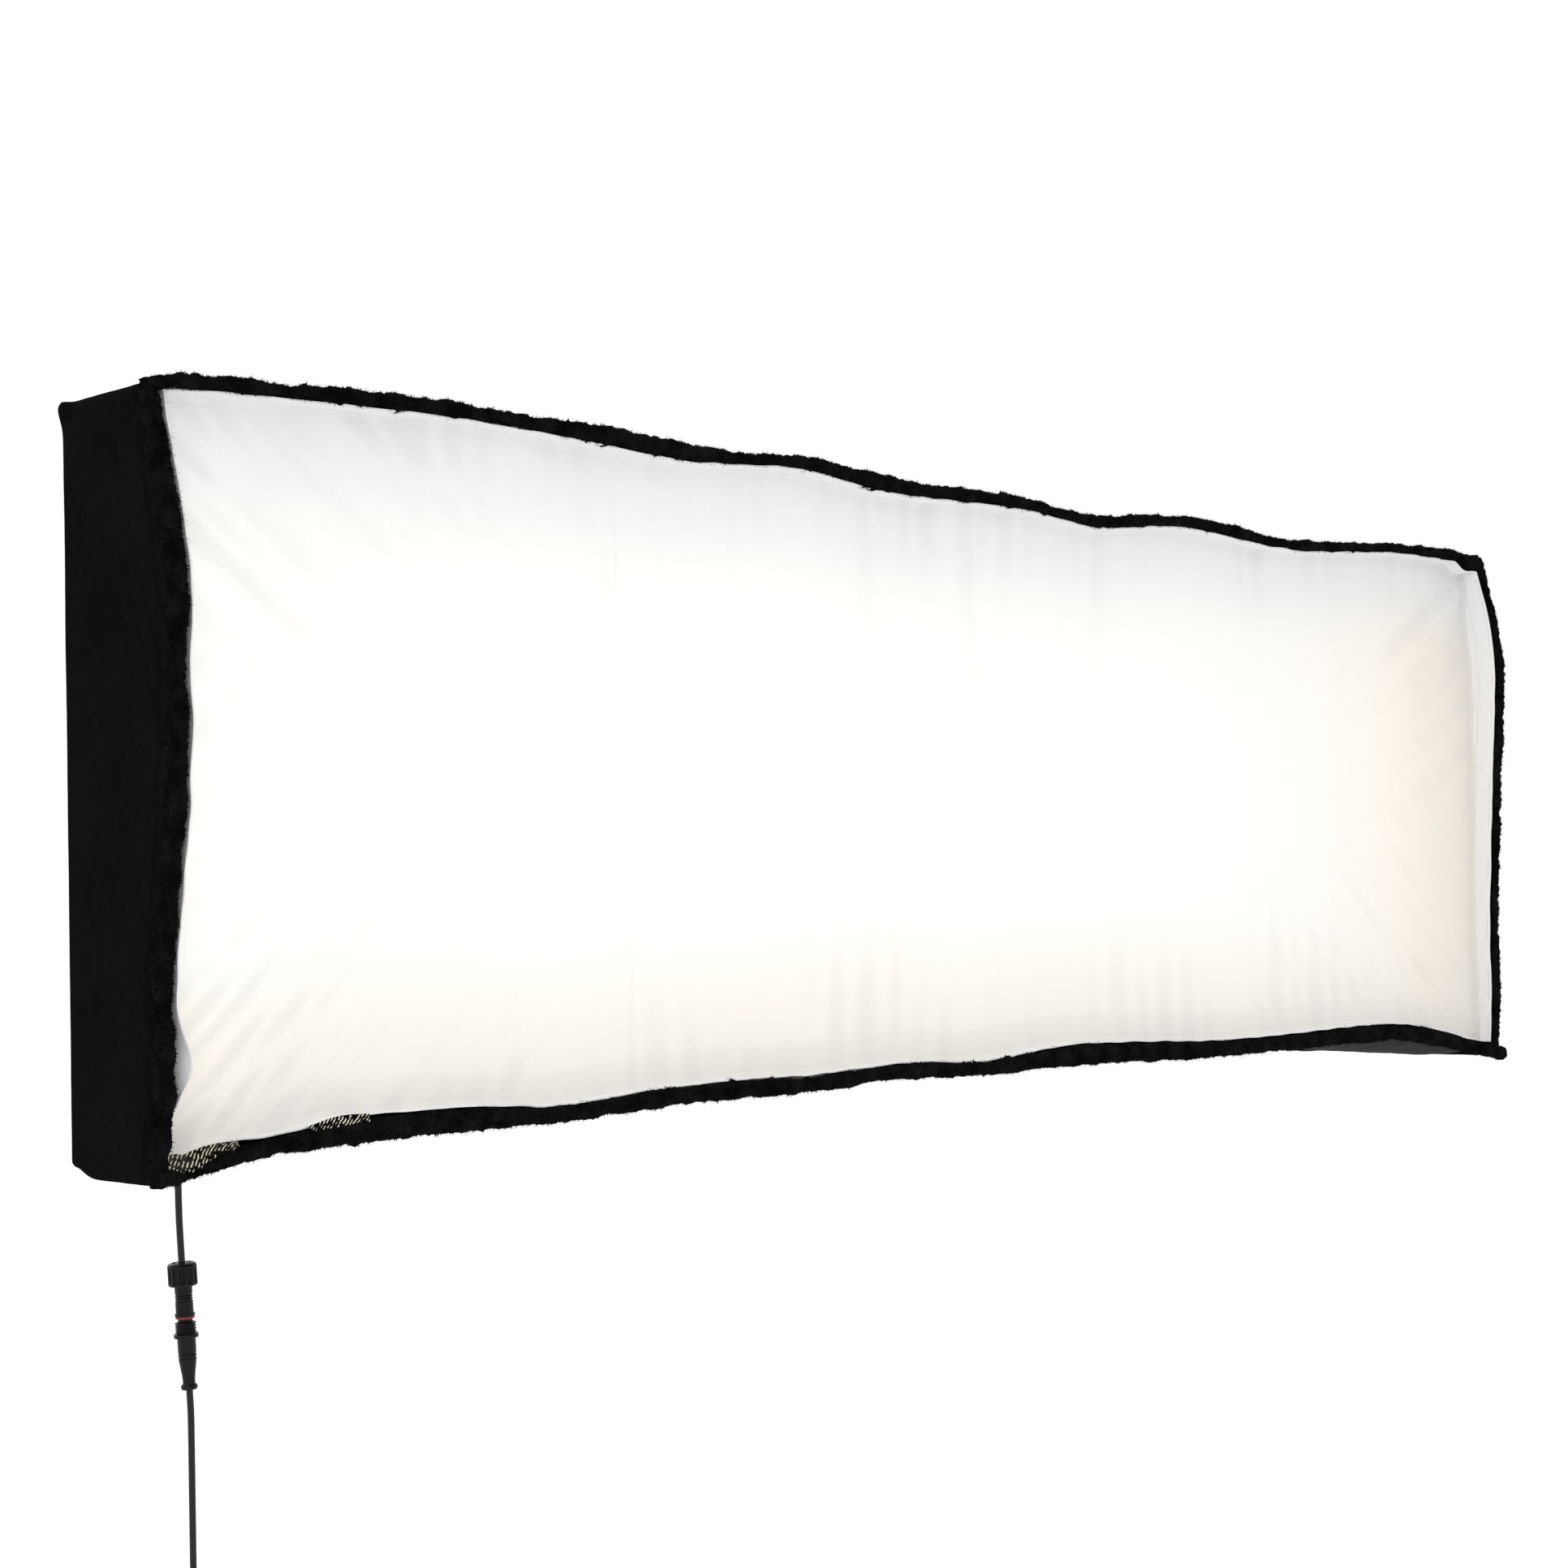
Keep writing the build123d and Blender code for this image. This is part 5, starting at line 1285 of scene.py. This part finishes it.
# %% Board, back cover and its binding
def rounded_loop(half_w, low, high, radius, steps=64):
    """Outline of a rectangle with round corners, evenly split on its runs."""
    out = []
    for cx, cz, a0 in ((half_w - radius, high - radius, 0.5), (half_w - radius, low + radius, 0.0),
                       (-half_w + radius, low + radius, -0.5), (-half_w + radius, high - radius, -1.0)):
        a = np.linspace(a0, a0 - 0.5, 9) * np.pi
        out.append(np.stack([cx + radius * np.cos(a), cz + radius * np.sin(a)], 1))
    corners = np.concatenate(out)
    closed = np.concatenate([corners, corners[:1]])
    walked = np.concatenate([[0], np.cumsum(np.linalg.norm(np.diff(closed, axis=0), axis=1))])
    at = np.unique(np.concatenate([walked[:-1], np.linspace(0, walked[-1], steps * 8, endpoint=False)]))
    return np.stack([np.interp(at, walked, closed[:, k]) for k in range(2)], axis=1)


MAT_R = 12 * MM
cover_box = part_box("mat_back_cover")
mat_corner = np.array([mat_box[1].x, mat_box[1].z])
outline = rounded_loop(mat_corner[0], mat_box[0].z, mat_corner[1], MAT_R)
middle = np.array([0.0, MID_Z])
outwards_by = np.concatenate([np.linspace(0.02, 0.94, 46), [0.96, 0.975, 0.985, 0.9925, 0.997]])[:, None, None]
cover_xz = middle + (outline[None] - middle) * outwards_by
bumpy = 0.22 * MM * soft_noise(cover_xz, 70 * MM, 100) * (1 - outwards_by[..., 0] ** 8)
cover_y = (cover_box[1].y - 0.15 * MM + bumpy, cover_box[0].y + 0.05 * MM + 0 * bumpy)
cover_back, cover_front = (np.stack([cover_xz[..., 0], y, cover_xz[..., 1]], axis=-1) for y in cover_y)
piece("mat_cover_cloth", [flat_on(tube_of(np.concatenate([cover_back, cover_front[::-1]])))], loop_cloth,
      "head", ["mat_back_cover"])


def inset_loop(by):
    """The mat's outline brought in by a distance: each point moves towards the line that the outline is
    offset from."""
    low = [-(mat_corner[0] - MAT_R), mat_box[0].z + MAT_R]
    centre = np.clip(outline, low, [mat_corner[0] - MAT_R, mat_corner[1] - MAT_R])
    return centre + unit(outline - centre) * (MAT_R - by)


def upright(loop, y):
    """A loop of (x, z) points, stood up at one y."""
    return np.stack([loop[:, 0], np.full(len(loop), y), loop[:, 1]], axis=1)


# How far in from the mat's edge, and how far behind the cover, the folded binding goes.
profile = mm((11.4, 0.0), (11.2, 0.55), (9, 0.8), (5, 0.85), (1.5, 0.8), (0.1, 0.5), (-0.7, -0.4),
             (-0.7, -3.6), (-0.2, -4.1), (0.3, -3.6), (0.3, 0.0))
binding_rows = np.stack([upright(inset_loop(inset), cover_box[1].y + behind) for inset, behind in profile])
piece("mat_edge_binding", [ring_of(binding_rows)], twill, "head")

# %% Stitches behind the mat
SEAM_IN = 12 * MM
seam_line = upright(inset_loop(8.6 * MM), cover_box[1].y + 0.9 * MM)
flange_line = upright(loop_round(HALF_W - SEAM_IN, straight(HIGH - SEAM_IN), arched(LOW + SEAM_IN)),
                      REAR + 0.65 * MM)
rear_rows = [stitches(line, np.tile([0.0, 1.0, 0.0], (len(line), 1))) for line in (seam_line, flange_line)]
piece("rear_stitching", rear_rows, black_thread, "head")

# %% [markdown]
# ## Bracket and handles
# These pieces keep the model's exact shapes and only need their real finishes. Castings are powder
# coated, which leaves a fine orange peel. The arms are drawn aluminium tube, anodised black, with lines
# along their length. Handles are glass-filled nylon, moulded with a light grain.

# %% Finishes for the hard parts
casting = grained("powder_coated_casting", "#1a1a1c", "#232325", 0.9 * MM, 0.08 * MM, 0.5)
coated_steel = grained("powder_coated_steel", "#17171a", "#202024", 0.7 * MM, 0.06 * MM, 0.45)
handle_nylon = grained("glass_filled_nylon", "#1b1b1d", "#29292c", 0.6 * MM, 0.07 * MM, 0.6)
zinc_steel = grained("zinc_plated_steel", "#a9abad", "#c8cacc", 0.4 * MM, 0.02 * MM, 0.3, metallic=1.0)
brass = grained("turned_brass", "#c79a4a", "#dcb566", 0.3 * MM, 0.01 * MM, 0.28, metallic=1.0)
white_nylon = grained("white_nylon_washer", "#dcdcd8", "#efefec", 0.5 * MM, 0.03 * MM, 0.5)


def anodised():
    """Drawn tube: scratches a third of a millimetre apart run along X, then a satin black oxide."""
    material, tree, shader = new_finish("black_anodised_aluminium", Metallic=1.0)
    place = add(tree, "ShaderNodeTexCoord")
    drawn = add(tree, "ShaderNodeMapping", {"Vector": place.outputs["Object"], "Scale": (0.02, 1, 0.3)})
    lines = add(tree, "ShaderNodeTexNoise", {"Vector": drawn.outputs[0], "Scale": 1 / (0.5 * MM),
                                             "Detail": 3.0})
    tones = add(tree, "ShaderNodeMix", {SHARE: lines.outputs[0], FIRST: colour("#1f1f22"),
                                        SECOND: colour("#3a3a3f")}, data_type="RGBA")
    gloss = add(tree, "ShaderNodeMapRange", {"Value": lines.outputs[0], "To Min": 0.32, "To Max": 0.55})
    fill(tree, shader, {"Base Color": tones.outputs[MIXED], "Roughness": gloss.outputs[0]})
    return material


def hooked(name, deep, light):
    """Hook tape: rows of tiny hooks 1.6 mm apart, drawn as raised cells over a woven ground."""
    material, tree, shader = new_finish(name, Roughness=0.6)
    place = add(tree, "ShaderNodeTexCoord")
    hooks = add(tree, "ShaderNodeTexVoronoi", {"Vector": place.outputs["Object"], "Scale": 1 / (1.6 * MM),
                                               "Randomness": 0.25})
    tones = add(tree, "ShaderNodeMix", {SHARE: hooks.outputs["Distance"], FIRST: colour(light),
                                        SECOND: colour(deep)}, data_type="RGBA")
    bump = add(tree, "ShaderNodeBump", {"Height": hooks.outputs["Distance"], "Distance": 0.5 * MM,
                                        "Strength": 0.8}, invert=True)
    fill(tree, shader, {"Base Color": tones.outputs[MIXED], "Normal": bump.outputs[0]})
    return material


def printed_board():
    """White solder mask on polyimide film, with copper tracks that show through as faint straight lines."""
    material, tree, shader = new_finish("white_flexible_board", Roughness=0.45)
    place = add(tree, "ShaderNodeTexCoord").outputs["Object"]
    split = add(tree, "ShaderNodeSeparateXYZ", {"Vector": place})
    cells = add(tree, "ShaderNodeMath", {0: split.outputs["Z"], 1: LED_PITCH}, operation="PINGPONG")
    track = add(tree, "ShaderNodeMapRange", {"Value": cells.outputs[0], "From Min": 4 * MM, "From Max": 5 * MM})
    slow = add(tree, "ShaderNodeTexNoise", {"Vector": place, "Scale": 1 / (60 * MM)})
    mask = add(tree, "ShaderNodeMix", {SHARE: slow.outputs[0], FIRST: colour("#e6e4dc"),
                                       SECOND: colour("#f2f1ec")}, data_type="RGBA")
    tones = add(tree, "ShaderNodeMix", {SHARE: track.outputs[0], FIRST: colour("#d8cfb4"),
                                        SECOND: mask.outputs[MIXED]}, data_type="RGBA")
    fill(tree, shader, {"Base Color": tones.outputs[MIXED]})
    return material


def glass_rod():
    """Pultruded fibreglass with black pigment: long fibres along Y show faintly under a clear resin."""
    material, tree, shader = new_finish("pultruded_fibreglass", Roughness=0.3, Coat_Weight=0.3)
    place = add(tree, "ShaderNodeTexCoord")
    drawn = add(tree, "ShaderNodeMapping", {"Vector": place.outputs["Object"], "Scale": (1, 0.02, 1)})
    fibres = add(tree, "ShaderNodeTexNoise", {"Vector": drawn.outputs[0], "Scale": 1 / (0.5 * MM)})
    tones = add(tree, "ShaderNodeMix", {SHARE: fibres.outputs[0], FIRST: colour("#0e0e10"),
                                        SECOND: colour("#1d1d20")}, data_type="RGBA")
    fill(tree, shader, {"Base Color": tones.outputs[MIXED]})
    return material


black_hooks = hooked("black_hook_tape", "#0c0c0d", "#2a2a2d")
finishes = {"hub_plate": casting, "tilt_fork": casting, "stud_socket": casting, "mount_bar": coated_steel,
            "hub_bolts": zinc_steel, "fork_bolts": zinc_steel, "arm_pins": zinc_steel,
            "tilt_bolt": zinc_steel, "clamp_screw": zinc_steel, "tilt_handle": handle_nylon,
            "clamp_handle": handle_nylon, "cable_box": handle_nylon, "friction_washers": white_nylon,
            "contact_pins": brass, "corner_stays": glass_rod(), "led_mat": printed_board(),
            "flange_hook_tape": black_hooks, "hub_hook_pad": black_hooks}
tube_finish = anodised()
for corner in ("upper_left", "upper_right", "lower_left", "lower_right"):
    finishes.update({f"arm_{corner}": tube_finish, f"arm_tip_{corner}": handle_nylon,
                     f"arm_pad_{corner}": black_hooks})
for node, finish in finishes.items():
    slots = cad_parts[node].data.materials
    slots.clear()
    slots.append(finish)
print(len(finishes), "hard parts have their finish")

# %% [markdown]
# ## Studio
# A pale floor far below, an even white surround, and two large soft lights: the main one from the front
# left for the near side, and a weaker one from the right. Large lights keep every shadow soft.

# %% Floor, surround and lights
FLOOR_R, FLOOR_Z, FLOOR_POINTS = 14, -1.5, 96
floor_mesh = bpy.data.meshes.new("floor")
a = np.linspace(0, 2 * np.pi, FLOOR_POINTS, endpoint=False)
disc = np.stack([FLOOR_R * np.cos(a), FLOOR_R * np.sin(a), np.full(FLOOR_POINTS, FLOOR_Z)], axis=1)
floor_mesh.from_pydata(disc.tolist(), [], [list(range(FLOOR_POINTS))])
floor = bpy.data.objects.new("floor", floor_mesh)
bpy.context.scene.collection.objects.link(floor)
paper = new_finish("matt_white_paper", Base_Color=colour("#ffffff"), Roughness=1.0, Specular_IOR_Level=0.0)[0]
floor_mesh.materials.append(paper)

world = bpy.data.worlds.new("white_surround")
world.use_nodes = True
fill(world.node_tree, world.node_tree.nodes["Background"], {"Color": colour("#ffffff"), "Strength": 1.0})
bpy.context.scene.world = world
bpy.context.scene.view_settings.view_transform = "Standard"


def soft_light(name, place, aim, side, power):
    """A square area light at a place, turned to face the aim."""
    lamp = bpy.data.lights.new(name, "AREA")
    lamp.energy, lamp.size = power, side
    obj = bpy.data.objects.new(name, lamp)
    obj.location = place
    obj.rotation_euler = (Vector(aim) - Vector(place)).to_track_quat("-Z", "Y").to_euler()
    bpy.context.scene.collection.objects.link(obj)


# Places, aims and sides in metres, power in watts; the third keeps the floor behind the box bright.
soft_light("main_light", (-3.2, -2.2, 2.0), (-0.4, -0.1, 0.2), 2.2, 12)
soft_light("side_light", (2.8, -2.6, 1.4), (0.3, -0.1, 0.2), 2.0, 5)
soft_light("floor_light", (0.0, 6.0, 2.5), (0.0, 6.5, -1.5), 5.0, 120)
print("three soft lights")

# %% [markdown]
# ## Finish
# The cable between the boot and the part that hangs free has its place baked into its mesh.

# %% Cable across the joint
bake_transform(pigtail)
bpy.context.view_layer.update()
